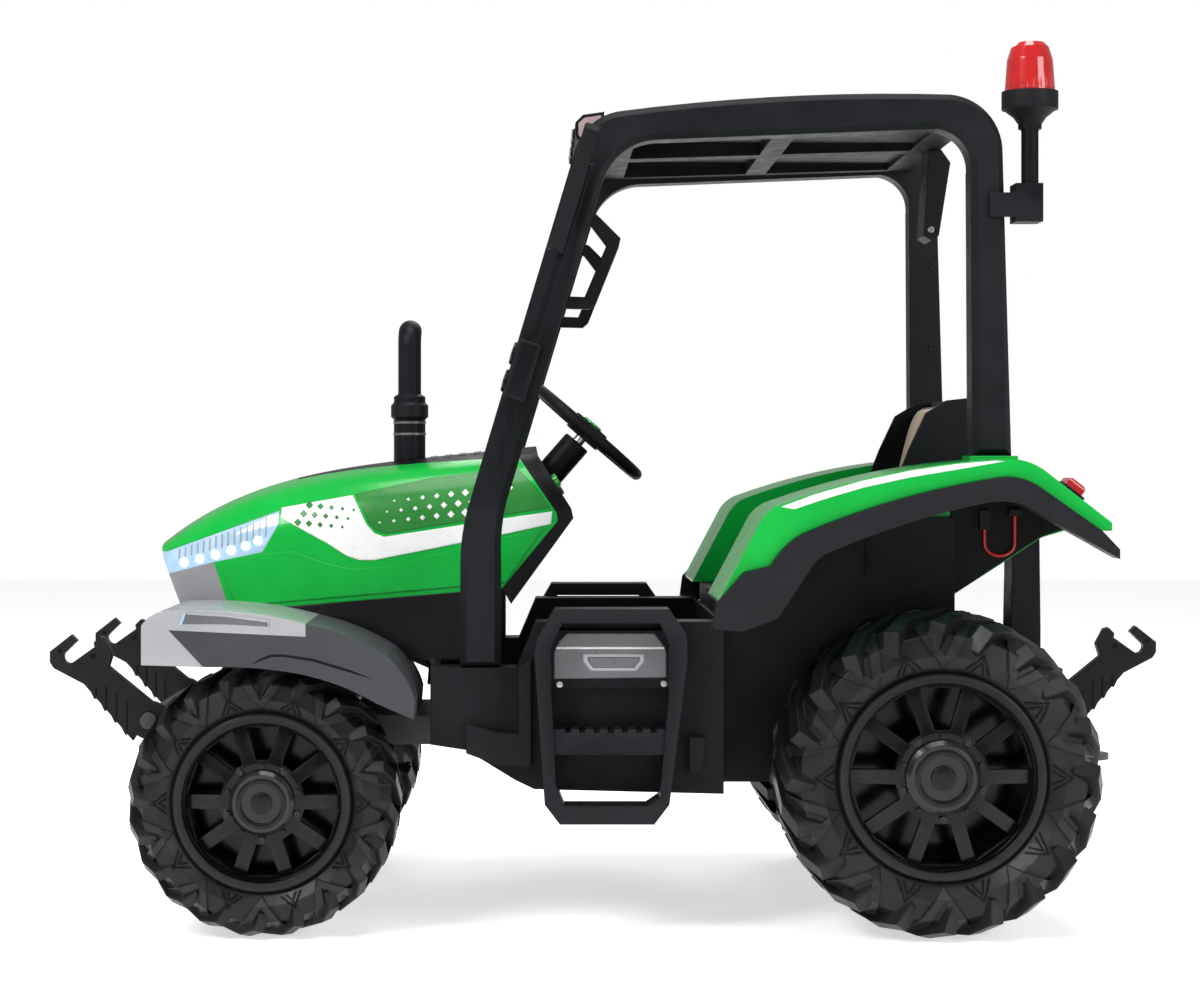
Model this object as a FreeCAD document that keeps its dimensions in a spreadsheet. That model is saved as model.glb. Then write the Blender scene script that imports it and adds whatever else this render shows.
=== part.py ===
"""Battery ride-on tractor toy with a cab, as separate solids. Front is -X, left is -Y, up is +Z."""
import FreeCAD, Part
import math
import os

import Sketcher

V = FreeCAD.Vector

# Driving dimensions in millimetres and degrees
SIZES = {
    # wheels and axles
    "front_axle_x": -456, "rear_axle_x": 401,
    "front_track_half": 285, "rear_track_half": 280,
    "front_tyre_radius": 174, "rear_tyre_radius": 208,
    "front_tyre_width": 130, "rear_tyre_width": 184,
    "front_rim_radius": 106, "rear_rim_radius": 124,
    "front_cap_radius": 43, "rear_cap_radius": 49,
    "tyre_wall": 6, "lug_height": 11, "rib_count": 10, "rib_height": 4, "rim_wall": 5, "rim_lip": 7,
    "spoke_half": 9, "axle_radius": 10, "hub_inner_end": 46, "cap_height": 11,
    "running_gap": 0.08, "fit_gap": 0.3, "swing_gap": 1.5,
    # footwell tub and rear housing
    "sill_half": 300, "sill_width": 55, "sill_top": 400, "pod_top": 341,
    "tub_front_x": -245, "tub_rear_x": 130, "tub_bottom": 180, "floor_top": 222,
    "tub_wall": 5, "floor_rib": 3, "ledge_depth": 11,
    "housing_half": 178, "housing_top": 428, "housing_rear_x": 445, "housing_wall": 6,
    "tail_rear_x": 588, "tail_top": 330, "wing_top": 530,
    # front subframe, bumper and steering gear
    "subframe_half": 110, "subframe_top": 262, "subframe_low": 222, "subframe_front_x": -600,
    "plate": 6, "beam_half": 15, "kingpin_half": 205, "kingpin_radius": 8, "steer_arm": 70,
    "tie_height": 14, "bar_radius": 11, "bar_half": 190, "pivot_x": 622, "pivot_z": 262,
    "shaft_radius": 8, "shaft_length": 525, "crank_radius": 24, "crank_pin_radius": 5,
    "hub_x": -39, "hub_z": 646, "wheel_lean": 41.1, "grip_radius": 91, "grip_tube": 8,
    "column_radius": 20, "column_length": 90, "button_radius": 9, "horn_radius": 15,
    # hood group
    "skin": 4, "hood_rear_x": -40, "hood_nose_x": -650, "hood_rear_half": 172, "hood_nose_half": 88,
    "hood_rear_top": 631, "hood_nose_top": 470, "cover_low": 341, "hood_split_front": 404,
    "hood_split_rear": 446, "lamp_inner": 55, "top_panel_half": 100,
    "stack_x": -286, "stack_radius": 22, "pipe_radius": 16, "stack_top": 694, "pipe_top": 786,
    # fenders
    "fender_half": 362, "fender_wall": 4, "nose_fender_front_x": -605, "nose_fender_rear_x": -261,
    "nose_fender_top": 418, "nose_fender_low": 281,
    "rear_fender_front_x": 118, "rear_fender_rear_x": 612, "rear_fender_top": 608,
    "inner_wall": 164, "trim_depth": 10, "trim_return": 34,
    # cab
    "frame_outer": 300, "frame_inner": 250, "cab_top": 1077, "pillar_a_x": -207, "pillar_a_width": 52,
    "pillar_b_x": 499, "pillar_b_width": 50, "roof_rail": 42, "frame_bevel": 10, "foot_pad": 612,
    "lamp_bar_depth": 38, "grip_half": 7,
    "mirror_width": 50, "mirror_height": 165, "mirror_depth": 20, "hinge_offset": 14, "hinge_radius": 8,
    "board_half": 32, "pillar_lean": 16.8, "beacon_radius": 32,
    "beacon_height": 63, "stalk_radius": 11,
    # seat
    "seat_half": 150, "seat_front_x": 205, "seat_back_x": 395, "seat_shell": 8, "seat_back_top": 690,
    "pad_height": 32,
    # steps, hooks, tow bar, power
    "step_outer": 350, "step_front_x": -112, "step_rear_x": 81,
    "step_top": 419, "step_low": 148, "tread_z": 251,
    "hook_throat": 16, "hook_thick": 16, "hook_y": 176,
    "tow_length": 100, "tow_half": 30, "tow_thick": 8, "tow_hole": 6, "tow_z": 190,
    "gearbox_depth": 44, "motor_radius": 19, "motor_length": 70,
    "wire_radius": 2, "plug_x": 485, "plug_z": 514, "lead_bend": 20,
    # seams, small controls and lamps
    "nose_x": -622, "nose_z": 490, "split_bend_x": -521, "top_panel_length": 273, "cowl_wall": 6,
    "bulkhead_x": -480, "start_y": 92, "hub_half": 12, "pedal_y": 95, "pedal_half": 24, "pedal_pin": 4,
    "nose_fender_inner": 128, "lamp_y": 275, "deck_z": 534,
}


class Size:
    """A length: its number now, and the sheet expression that drives it."""

    def __init__(self, value, text):
        self.value = value
        self.text = text

    def __add__(self, other):
        return join(self, "+", other, self.value + number(other))

    def __radd__(self, other):
        return join(other, "+", self, number(other) + self.value)

    def __sub__(self, other):
        return join(self, "-", other, self.value - number(other))

    def __rsub__(self, other):
        return join(other, "-", self, number(other) - self.value)

    def __mul__(self, other):
        return join(self, "*", other, self.value * number(other))

    def __rmul__(self, other):
        return join(other, "*", self, number(other) * self.value)

    def __truediv__(self, other):
        return join(self, "/", other, self.value / number(other))

    def __neg__(self):
        return Size(-self.value, f"(0 - {self.text})")


def number(item):
    return item.value if isinstance(item, Size) else float(item)


def words(item):
    return item.text if isinstance(item, Size) else f"({float(item):.6f})"


def size(item):
    """Turns a plain number into a Size."""
    return item if isinstance(item, Size) else Size(float(item), words(item))


def join(left, sign, right, value):
    return Size(value, f"({words(left)} {sign} {words(right)})")


class Dims:
    """The driving dimensions as attributes."""


doc = FreeCAD.newDocument("RideOnTractor")
sheet = doc.addObject("Spreadsheet::Sheet", "Dims")
d = Dims()
for row, (name, amount) in enumerate(SIZES.items(), start=1):
    sheet.set(f"A{row}", name)
    sheet.set(f"B{row}", str(amount))
    sheet.setAlias(f"B{row}", name)
    setattr(d, name, Size(float(amount), f"Dims.{name}"))
doc.recompute()

nodes = {}


def node(label, item):
    """Names a finished sub-part."""
    item.Label = label
    nodes[label] = item
    return item


def bind(item, prop, amount):
    item.setExpression(prop, words(amount))


def new_body(name):
    return doc.addObject("PartDesign::Body", name)


def origin_part(body, role):
    return [part for part in body.Origin.OriginFeatures if part.Role == role][0]


def new_sketch(body, plane, level, turn=0, spin_by=0):
    """A sketch on an origin plane, moved to a level along +X, +Y or +Z, turned about +Z, then about +Y."""
    sketch = body.newObject("Sketcher::SketchObject", "Sketch")
    sketch.AttachmentSupport = [(origin_part(body, plane + "_Plane"), "")]
    sketch.MapMode = "FlatFace"
    sign = -1 if plane == "XZ" else 1
    turned = FreeCAD.Rotation(V(1, 0, 0), spin_by).multiply(FreeCAD.Rotation(V(0, 1, 0), turn))
    sketch.AttachmentOffset = FreeCAD.Placement(V(0, 0, 0), turned)
    bind(sketch, "AttachmentOffset.Base.z", sign * size(level))
    return sketch


def drive_point(sketch, geometry, position, u, v):
    for kind, reach in (("DistanceX", u), ("DistanceY", v)):
        rule = Sketcher.Constraint(kind, -1, 1, geometry, position, number(reach))
        bind(sketch, f"Constraints[{sketch.addConstraint(rule)}]", reach)


def arc_between(start, end, radius):
    """Minor arc from start to end: its centre is on the left for a positive radius."""
    chord = end - start
    half = chord.Length / 2
    rise = math.sqrt(max(radius * radius - half * half, 0))
    left = V(-chord.y, chord.x, 0).normalize()
    centre = (start + end) * 0.5 + left * math.copysign(rise, radius)
    first, last = (start, end) if radius > 0 else (end, start)
    angle_a = math.atan2(first.y - centre.y, first.x - centre.x)
    angle_b = math.atan2(last.y - centre.y, last.x - centre.x)
    return Part.ArcOfCircle(Part.Circle(centre, V(0, 0, 1), abs(radius)), angle_a, angle_b)


def outline(body, plane, corners, level=0, closed=True, turn=0, spin_by=0):
    """An outline: each corner is (u, v), or (u, v, radius) where the next side is an arc."""
    sketch = new_sketch(body, plane, level, turn, spin_by)
    flat = [V(number(corner[0]), number(corner[1]), 0) for corner in corners]
    ends = []
    sides = corners if closed else corners[:-1]
    for index, corner in enumerate(sides):
        start = flat[index]
        end = flat[(index + 1) % len(flat)]
        if len(corner) == 3:
            radius = number(corner[2])
            piece = sketch.addGeometry(arc_between(start, end, radius), False)
            ends.append((1, 2) if radius > 0 else (2, 1))
            rule = Sketcher.Constraint("Radius", piece, abs(radius))
            bound = corner[2] if radius > 0 else -1 * corner[2]
            bind(sketch, f"Constraints[{sketch.addConstraint(rule)}]", bound)
        else:
            sketch.addGeometry(Part.LineSegment(start, end), False)
            ends.append((1, 2))
    for index, corner in enumerate(sides):
        following = (index + 1) % len(sides)
        if closed or following:
            rule = Sketcher.Constraint("Coincident", index, ends[index][1], following, ends[following][0])
            sketch.addConstraint(rule)
        drive_point(sketch, index, ends[index][0], corner[0], corner[1])
    if not closed:
        drive_point(sketch, len(sides) - 1, ends[-1][1], corners[-1][0], corners[-1][1])
    return sketch


def ring(body, plane, u, v, radius, level=0):
    sketch = new_sketch(body, plane, level)
    centre = V(number(u), number(v), 0)
    sketch.addGeometry(Part.Circle(centre, V(0, 0, 1), number(radius)), False)
    drive_point(sketch, 0, 3, u, v)
    rule = Sketcher.Constraint("Radius", 0, number(radius))
    bind(sketch, f"Constraints[{sketch.addConstraint(rule)}]", radius)
    return sketch


def extrude(body, plane, shape, low, high, cut=False):
    """Pads or pockets an outline, or a circle (u, v, radius), between two levels along an axis."""
    down = (plane == "XZ") != cut
    level = high if down else low
    if isinstance(shape, list):
        sketch = outline(body, plane, shape, level)
    else:
        sketch = ring(body, plane, *shape, level)
    feature = body.newObject("PartDesign::Pocket" if cut else "PartDesign::Pad", "Feature")
    feature.Profile = sketch
    bind(feature, "Length", high - low)
    return feature


def spin(body, corners, plane="YZ", axis="H_Axis"):
    """Turns an outline of (along, radius) corners about the body's Y axis, or another sketch axis."""
    feature = body.newObject("PartDesign::Revolution", "Spin")
    feature.Profile = outline(body, plane, corners)
    feature.ReferenceAxis = (feature.Profile[0], [axis])
    feature.Angle = 360
    return feature


def loft(body, sections, cut=False, ruled=False):
    kind = "PartDesign::SubtractiveLoft" if cut else "PartDesign::AdditiveLoft"
    feature = body.newObject(kind, "Loft")
    feature.Profile = sections[0]
    feature.Sections = sections[1:]
    feature.Ruled = ruled
    return feature


def turn_copies(body, features, count, role):
    """Copies features round one of the body's own axes."""
    pattern = body.newObject("PartDesign::PolarPattern", "Copies")
    pattern.Originals = features
    pattern.Axis = (origin_part(body, role), [""])
    pattern.Angle = 360
    pattern.Occurrences = count
    body.Tip = pattern
    return pattern


def row_copies(body, features, role, length, count):
    """Copies features along one of the body's own axes."""
    pattern = body.newObject("PartDesign::LinearPattern", "Row")
    pattern.Originals = features
    pattern.Direction = (origin_part(body, role), [""])
    bind(pattern, "Length", length)
    pattern.Occurrences = count
    body.Tip = pattern
    return pattern


def soften(body, radius, pick):
    """Rounds the body's edges that the pick function chooses."""
    doc.recompute()
    base = body.Tip
    chosen = [f"Edge{i}" for i, edge in enumerate(base.Shape.Edges, start=1) if pick(edge)]
    feature = body.newObject("PartDesign::Fillet", "Fillet")
    feature.Base = (base, chosen)
    bind(feature, "Radius", radius)
    return feature


def lies_on(axis, level, slack=0.01):
    """Picks the edges that lie in the plane axis = level."""
    def pick(edge):
        box = edge.BoundBox
        low, high = {"x": (box.XMin, box.XMax), "y": (box.YMin, box.YMax), "z": (box.ZMin, box.ZMax)}[axis]
        return abs(low - number(level)) < slack and abs(high - number(level)) < slack
    return pick


def place(item, x=0, y=0, z=0, axis=None, angle=0):
    """Sets a placement whose numbers follow the sheet."""
    if axis is not None:
        item.Placement.Rotation = FreeCAD.Rotation(V(*axis), number(angle))
        bind(item, "Placement.Rotation.Angle", angle)
    for letter, spot in (("x", x), ("y", y), ("z", z)):
        bind(item, f"Placement.Base.{letter}", spot)
    return item


def box(x, y, z):
    """A block between (low, high) pairs on each axis."""
    item = doc.addObject("Part::Box", "Block")
    for prop, letter, (low, high) in zip(("Length", "Width", "Height"), "xyz", (x, y, z)):
        bind(item, prop, size(high) - low)
        bind(item, f"Placement.Base.{letter}", low)
    return item


def rod(axis, u, v, radius, low, high):
    """A cylinder along X (u, v are y, z), along Y (u, v are x, z) or along Z (u, v are x, y)."""
    item = doc.addObject("Part::Cylinder", "Rod")
    bind(item, "Radius", radius)
    bind(item, "Height", size(high) - low)
    if axis == "y":
        item.Placement.Rotation = FreeCAD.Rotation(V(1, 0, 0), -90)
    if axis == "x":
        item.Placement.Rotation = FreeCAD.Rotation(V(0, 1, 0), 90)
    spots = {"x": (low, u, v), "y": (u, low, v), "z": (u, v, low)}[axis]
    for letter, spot in zip("xyz", spots):
        bind(item, f"Placement.Base.{letter}", spot)
    return item


def fuse(items):
    item = doc.addObject("Part::MultiFuse", "Joined")
    item.Shapes = items
    return item


def cut(base, *tools):
    for tool in tools:
        item = doc.addObject("Part::Cut", "Trimmed")
        item.Base = base
        item.Tool = tool
        base = item
    return base


def common(base, tool):
    item = doc.addObject("Part::Common", "Shared")
    item.Base = base
    item.Tool = tool
    return item


def mirror(source):
    item = doc.addObject("Part::Mirroring", "Mirrored")
    item.Source = source
    item.Normal = V(0, 1, 0)
    return item


def pair(label, left):
    """Registers a left sub-part and its mirrored twin on the right."""
    node(f"{label}_left", left)
    node(f"{label}_right", mirror(left))


def group(label, items):
    item = doc.addObject("Part::Compound", "Group")
    item.Links = items
    return node(label, item)


def grid(u, v, width, height):
    """Maps shares of a width and a height to corners of an outline."""
    def spot(a, b, radius=None):
        corner = (u + width * a, v + height * b)
        return corner if radius is None else corner + (radius,)
    return spot


def polar(radius, degrees):
    """A corner at an angle from the sketch's v axis."""
    angle = math.radians(degrees)
    return radius * math.sin(angle), radius * math.cos(angle)


# Wheels

def tyre(radius, width, rim):
    """Hollow carcass open to the rim, with slanted lugs on the tread and V ribs down both side walls."""
    body = new_body("Tyre")
    half = width / 2
    bead = half * 0.8
    carcass = radius - d.lug_height
    bead_r = rim + d.fit_gap
    lip_r = bead_r + d.rim_lip
    shoulder_r = carcass - half * 0.2
    middle_r = lip_r * 0.55 + shoulder_r * 0.45
    crown_r = carcass - half * 0.03
    wall = d.tyre_wall
    side = [(bead, bead_r), (bead, lip_r), (half * 0.97, middle_r), (half * 0.88, shoulder_r),
            (half * 0.5, crown_r)]
    inner = [(bead - wall, bead_r), (bead - wall, lip_r), (half * 0.97 - wall, middle_r),
             (half * 0.88 - wall, shoulder_r - wall), (half * 0.5, crown_r - wall)]
    spin(body, [(-y, r) for y, r in side] + side[::-1] + inner + [(-y, r) for y, r in inner[::-1]])
    pitch = 180 / d.rib_count.value
    features = []
    for sign, start in ((-1, 0), (1, pitch / 2)):
        features.append(lug(body, sign, start, radius, half, shoulder_r))
    turn_copies(body, features, 2 * int(d.rib_count.value), "Y_Axis")
    rise = d.rib_height
    band = new_body("RibBand")
    high = [(bead + rise, lip_r + rise), (half * 0.97 + rise, middle_r), (half * 0.88 + rise, shoulder_r),
            (half * 0.55, crown_r + rise)]
    low = [(half * 0.55, crown_r - wall / 2), (half * 0.88 - wall / 2, shoulder_r - wall / 2),
           (half * 0.97 - wall / 2, middle_r), (bead - wall / 2, lip_r + rise)]
    for sign in (1, -1):
        spin(band, [(y * sign, r) for y, r in (high + low)[::sign]])
    ribs = new_body("Ribs")
    foot, end = lip_r + rise, carcass
    mark = extrude(ribs, "XZ", [
        polar(foot, 0), polar(end, -11.5), polar(end, -6.5), polar(foot + half * 0.2, 0), polar(end, 6.5),
        polar(end, 11.5)], -half - 2 * rise, half + 2 * rise)
    turn_copies(ribs, [mark], int(d.rib_count.value), "Y_Axis")
    whole = fuse([body, common(ribs, band)])
    whole.Refine = False
    return whole


def lug(body, sign, start, radius, half, shoulder_r):
    """One slanted lug from the middle of the tread to a sloping end on the shoulder."""
    slant = 38
    reach = half * (sign / math.cos(math.radians(slant)))
    base = shoulder_r + half * 0.12
    toe = shoulder_r - half * 0.3
    sketch = outline(body, "YZ", [
        (reach * -0.08, base), (reach * -0.08, radius), (reach * 0.6, radius - half * 0.078),
        (reach * 0.93, shoulder_r + d.lug_height * 0.4), (reach * 0.93, toe), (reach * 0.84, toe),
        (reach * 0.5, shoulder_r + half * 0.05)], turn=slant * sign, spin_by=start)
    feature = body.newObject("PartDesign::Pad", "Lug")
    feature.Profile = sketch
    feature.SideType = "Symmetric"
    bind(feature, "Length", half * 0.24)
    return feature


def rim_half_width(width):
    return width * 0.4


def rim(radius, width, cap):
    """Barrel with an outer lip, ten spokes on a dished face, wheel nuts and a hub sleeve."""
    body = new_body("Rim")
    edge = rim_half_width(width)
    inside = radius - d.rim_wall
    hub = cap + d.rim_lip
    bore = d.axle_radius + d.running_gap
    lip_out = -edge - d.rim_lip
    spin(body, [
        (lip_out, inside), (lip_out, radius + d.rim_lip - 2), (lip_out + 2, radius + d.rim_lip),
        (-edge - d.fit_gap, radius + d.rim_lip), (-edge - d.fit_gap, radius), (edge, radius), (edge, inside),
    ])
    face = 12
    spin(body, [(face - edge, inside + 1), (2 * face - edge, inside + 1), (face + 2 - edge, hub),
                (face + 2 - edge, d.axle_radius * 2), (d.hub_inner_end, d.axle_radius * 2),
                (d.hub_inner_end, bore), (-edge, bore), (-edge, hub)])
    half_pitch = math.radians(18)
    sine, cosine = math.sin(half_pitch), math.cos(half_pitch)
    corners = []
    for reach, sign in ((hub + 3, -1), (inside - 5, -1), (inside - 5, 1), (hub + 3, 1)):
        corners.append(((reach * sine - d.spoke_half * cosine) * sign, reach * cosine + d.spoke_half * sine))
    window = extrude(body, "XZ", corners, -edge - face, 3 * face - edge, cut=True)
    turn_copies(body, [window], 10, "Y_Axis")
    spin(body, [(edge * 0.4, inside + 1), (edge * 0.4 + d.rim_wall, inside + 1),
                (edge * 0.4 + d.rim_wall, d.axle_radius * 1.5), (edge * 0.4, d.axle_radius * 1.5)])
    nut = extrude(body, "XZ", (0, cap + d.rim_lip / 2 - 1, d.rim_lip / 2), -edge - 5, -edge)
    turn_copies(body, [nut], 5, "Y_Axis")
    return body


def hub_cap(width, cap):
    """Domed centre cap with a raised ring round a shallow dish."""
    body = new_body("Cap")
    seat = -rim_half_width(width)
    top = seat - d.cap_height
    spin(body, [
        (seat, 0), (top + 3, 0), (top + 3, cap * 0.62), (top, cap * 0.68), (top, cap * 0.84),
        (top + d.cap_height * 0.45, cap * 0.96), (seat, cap - 2.5),
    ])
    return body


def make_wheels():
    for end in ("front", "rear"):
        radius, width, rim_r, cap, x, track = [getattr(d, name) for name in (
            f"{end}_tyre_radius", f"{end}_tyre_width", f"{end}_rim_radius", f"{end}_cap_radius",
            f"{end}_axle_x", f"{end}_track_half")]
        pieces = {"tyre": tyre(radius, width, rim_r), "rim": rim(rim_r, width, cap),
                  "hub_cap": hub_cap(width, cap)}
        for name, body in pieces.items():
            pair(f"{end}_{name}", place(body, x, -track, radius))


# Chassis

def make_tub():
    """Footwell tray with hollow sills, toe board, ribbed floor and pods under the front pillars."""
    body = new_body("Tub")
    low = d.tub_bottom
    front = d.tub_front_x
    rear = d.tub_rear_x
    half = d.sill_half
    inner = half - d.sill_width
    wall = d.tub_wall
    extrude(body, "XZ", [
        (front, low + 63), (front + 46, low + 56), (front + 108, low + 18), (front + 133, low + 6),
        (rear, low), (rear, d.sill_top), (front + 135, d.sill_top), (front + 110, d.pod_top),
        (front, d.pod_top)], -half, half)
    extrude(body, "XZ", [
        (front + 2 * wall, d.floor_top + 40), (front + 95, d.floor_top), (rear - wall, d.floor_top),
        (rear - wall, d.sill_top + 20), (front + 2 * wall, d.sill_top + 20)], -inner, inner, cut=True)
    extrude(body, "XZ", [
        (front + 140, low - 20), (rear - wall, low - 20), (rear - wall, d.floor_top - wall),
        (front + 140, d.floor_top - wall)], -inner, inner, cut=True)
    for near, far in ((wall - half, -inner - wall), (inner + wall, half - wall)):
        extrude(body, "XZ", [
            (front + 140, low - 20), (rear - wall, low - 20), (rear - wall, d.sill_top - wall),
            (front + 140, d.sill_top - wall)], near, far, cut=True)
    for near, far in ((-half - d.ledge_depth, -half), (half, half + d.ledge_depth)):
        extrude(body, "XZ", [
            (front + 46, low + 91), (front + 87, low + 79), (d.step_front_x - 4, low + 77),
            (d.step_front_x - 4, low + 36), (front + 87, low + 38), (front + 46, low + 53)], near, far)
        extrude(body, "XZ", [
            (d.step_rear_x + 4, low + 73), (rear - 23, low + 73), (rear - 30, low + 29),
            (d.step_rear_x + 4, low + 29)], near, far)
        extrude(body, "XZ", [
            (d.step_front_x - 20, low + 70), (d.step_front_x - 20, d.pod_top),
            (d.step_front_x - 4, d.pod_top + 12),
            (d.step_front_x - 4, low + 70)], near, far)
    rib = extrude(body, "XY", [
        (front + 120, -inner + 40), (front + 128, -inner + 40), (front + 128, inner - 40),
        (front + 120, inner - 40)], d.floor_top, d.floor_top + d.floor_rib)
    row_copies(body, [rib], "X_Axis", rear - front - 160, 9)
    node("chassis_tub", body)


def make_rear_housing():
    """Box under the seat with raised side wings, a battery hatch, axle bores and a tail section."""
    body = new_body("Housing")
    half = d.housing_half
    wall = d.housing_wall
    inner = half - wall
    front = d.tub_rear_x
    low = d.tub_bottom
    back = d.housing_rear_x
    extrude(body, "XZ", [
        (front, low), (d.tail_rear_x - 30, low), (d.tail_rear_x, low + 30), (d.tail_rear_x, d.tail_top),
        (back, d.tail_top), (back, d.housing_top), (front, d.housing_top)], -half, half)
    extrude(body, "XZ", [
        (front + wall, low + wall), (d.tail_rear_x - 30, low + wall), (d.tail_rear_x - wall, low + 34),
        (d.tail_rear_x - wall, d.tail_top - wall), (back - wall, d.tail_top - wall),
        (back - wall, d.housing_top - wall), (front + wall, d.housing_top - wall)], -inner, inner, cut=True)
    for near, far in ((-half, -inner), (inner, half)):
        extrude(body, "XZ", [
            (front + 12, d.housing_top), (back, d.housing_top), (back, d.wing_top), (front + 78, d.wing_top)],
            near, far)
    extrude(body, "XY", [
        (front + 60, -110), (back - 60, -110), (back - 60, 110), (front + 60, 110)],
        d.housing_top - 2 * wall, d.housing_top, cut=True)
    extrude(body, "XZ", (d.rear_axle_x, d.rear_tyre_radius, d.axle_radius + d.running_gap),
            -half - 1, half + 1, cut=True)
    extrude(body, "XZ", (d.rear_axle_x - 50, d.rear_tyre_radius + 40, d.motor_radius + d.swing_gap),
            -half - 1, half + 1, cut=True)
    node("rear_housing", fuse([body] + rear_hitch()))


def rear_hitch():
    """Plate, two ears and a pin for the rear hook arm, on the tail's rear face."""
    x, z, thick = d.pivot_x, d.pivot_z, d.hook_thick / 2 + 1
    face = d.tail_rear_x
    parts = [box((face - 1, face + 5), (-38, 38), (z - 28, z + 28)),
             rod("y", x, z, d.bar_radius, -thick - 8, thick + 8)]
    for low, high in ((-thick - 8, -thick), (thick, thick + 8)):
        parts.append(box((face, x), (low, high), (z - 17, z + 17)))
        parts.append(rod("y", x, z, 17, low, high))
    return parts


def make_tail():
    """Rear axle, motor and gearbox units, battery, rear hitch and tow bar."""
    reach = d.rear_track_half + d.rear_tyre_width * 0.4 - 8
    node("rear_axle", rod("y", d.rear_axle_x, d.rear_tyre_radius, d.axle_radius, -reach, reach))
    x, z = d.rear_axle_x, d.rear_tyre_radius
    side = -d.housing_half
    shell = box((x - 74, x + 46), (side - d.gearbox_depth, side), (z - 44, z + 64))
    motor = rod("y", x - 50, z + 40, d.motor_radius, side, side + d.motor_length)
    bore = rod("y", x, z, d.axle_radius + d.running_gap, side - d.gearbox_depth - 1, side + 1)
    unit = cut(fuse([shell, motor]), bore)
    group("drive_units", [unit, mirror(unit)])
    floor = d.tub_bottom + d.housing_wall
    node("battery", box((d.tub_rear_x + 30, d.tub_rear_x + 180), (-75, 75), (floor, floor + 98)))
    body = new_body("TowBar")
    rear = d.tail_rear_x
    extrude(body, "XY", [
        (rear, -d.tow_half * 2), (rear + 20, -d.tow_half * 2),
        (rear + d.tow_length - d.tow_half, -d.tow_half),
        (rear + d.tow_length - d.tow_half, d.tow_half), (rear + 20, d.tow_half * 2), (rear, d.tow_half * 2)],
        d.tow_z, d.tow_z + d.tow_thick)
    extrude(body, "XY", (rear + d.tow_length - d.tow_half, 0, d.tow_half), d.tow_z, d.tow_z + d.tow_thick)
    extrude(body, "XY", (rear + d.tow_length - d.tow_half, 0, d.tow_hole),
            d.tow_z - 1, d.tow_z + d.tow_thick + 1, cut=True)
    extrude(body, "YZ", [
        (-d.tow_half * 2, d.tow_z - 12), (d.tow_half * 2, d.tow_z - 12), (d.tow_half * 2, d.tow_z + 40),
        (-d.tow_half * 2, d.tow_z + 40)], rear, rear + d.plate)
    node("tow_bar", body)


# Front gear

def lean_factors():
    """Sine and cosine of the steering shaft's lean from the vertical."""
    angle = math.radians(d.wheel_lean.value)
    return math.sin(angle), math.cos(angle)


def shaft_x(z):
    """Where the steering shaft's axis crosses a height."""
    sine, cosine = lean_factors()
    return d.hub_x - (d.hub_z - z) * (sine / cosine)


def make_subframe(inner):
    """Inverted channel from the tub to the bumper bar, with the bulkhead that carries the hood."""
    body = new_body("Subframe")
    half, top, low, plate = d.subframe_half, d.subframe_top, d.subframe_low, d.plate
    extrude(body, "YZ", [
        (-half, low), (plate - half, low), (plate - half, top - plate), (half - plate, top - plate),
        (half - plate, low), (half, low), (half, top), (-half, top)], d.subframe_front_x, d.tub_front_x)
    middle = shaft_x(top)
    slot = d.crank_radius / 2 + 6
    extrude(body, "XY", [
        (middle - 2 * slot, -slot), (middle + 2 * slot, -slot), (middle + 2 * slot, slot),
        (middle - 2 * slot, slot)], top - 2 * plate, top + 1, cut=True)
    wall = (d.bulkhead_x, d.bulkhead_x + plate)
    parts = [body, box(wall, (10 - half, half - 10), (top, d.cover_low + 20)),
             common(inner, box(wall, (-200, 200), (d.cover_low, d.hood_rear_top))),
             rod("y", -d.pivot_x, d.pivot_z, d.bar_radius, -d.bar_half, d.bar_half)]
    for near, far in ((-half, 20 - half), (half - 20, half)):
        parts.append(box((-d.pivot_x, d.subframe_front_x + 1), (near, far), (d.pivot_z - 26, d.pivot_z)))
    node("front_subframe", fuse(parts))


def make_front_axle():
    """Beam with a pedestal to the subframe and a kingpin sleeve at each end."""
    x, z, half = d.front_axle_x, d.front_tyre_radius, d.beam_half
    parts = [box((x - half, x + half), (-d.kingpin_half, d.kingpin_half), (z - half, z + half)),
             box((x - half, x + half), (-40, 40), (z, d.subframe_top - d.plate))]
    for y in (-d.kingpin_half, d.kingpin_half):
        parts.append(rod("z", x, y, half + 3, z - half - 5, z + half + 5))
    bores = []
    for y in (-d.kingpin_half, d.kingpin_half):
        bores.append(rod("z", x, y, d.kingpin_radius + d.running_gap, z - 40, z + 40))
    node("front_axle_beam", cut(fuse(parts), *bores))


def knuckle_levels():
    """Height of the yoke's inner and outer faces above the axle."""
    inner = d.beam_half + 5 + d.fit_gap
    return inner, inner + 11


def make_knuckles():
    """Yoke round the kingpin sleeve with its pin, the stub axle and a steering arm with its ball pin."""
    x, z, y = d.front_axle_x, d.front_tyre_radius, -d.kingpin_half
    half = d.beam_half
    inner, outer = knuckle_levels()
    side = (y - half - 13, y + half)
    stub = d.front_track_half + d.front_tyre_width * 0.4 - 8
    end = x + d.steer_arm
    parts = [rod("z", x, y, d.kingpin_radius, z - outer, z + outer),
             box((x - half, x + half), side, (z - outer, z - inner)),
             box((x - half, x + half), side, (z + inner, z + outer)),
             box((x - half, x + half), (side[0], side[0] + 9), (z - outer, z + outer)),
             rod("y", x, z, d.axle_radius, -stub, side[0] + 5),
             box((x, end), (y - 9, y + 9), (z + inner, z + outer)),
             rod("z", end, y, 9, z + inner, z + outer),
             rod("z", end, y, d.crank_pin_radius, z + outer - 1, z + outer + d.tie_height)]
    pair("steering_knuckle", fuse(parts))


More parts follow.
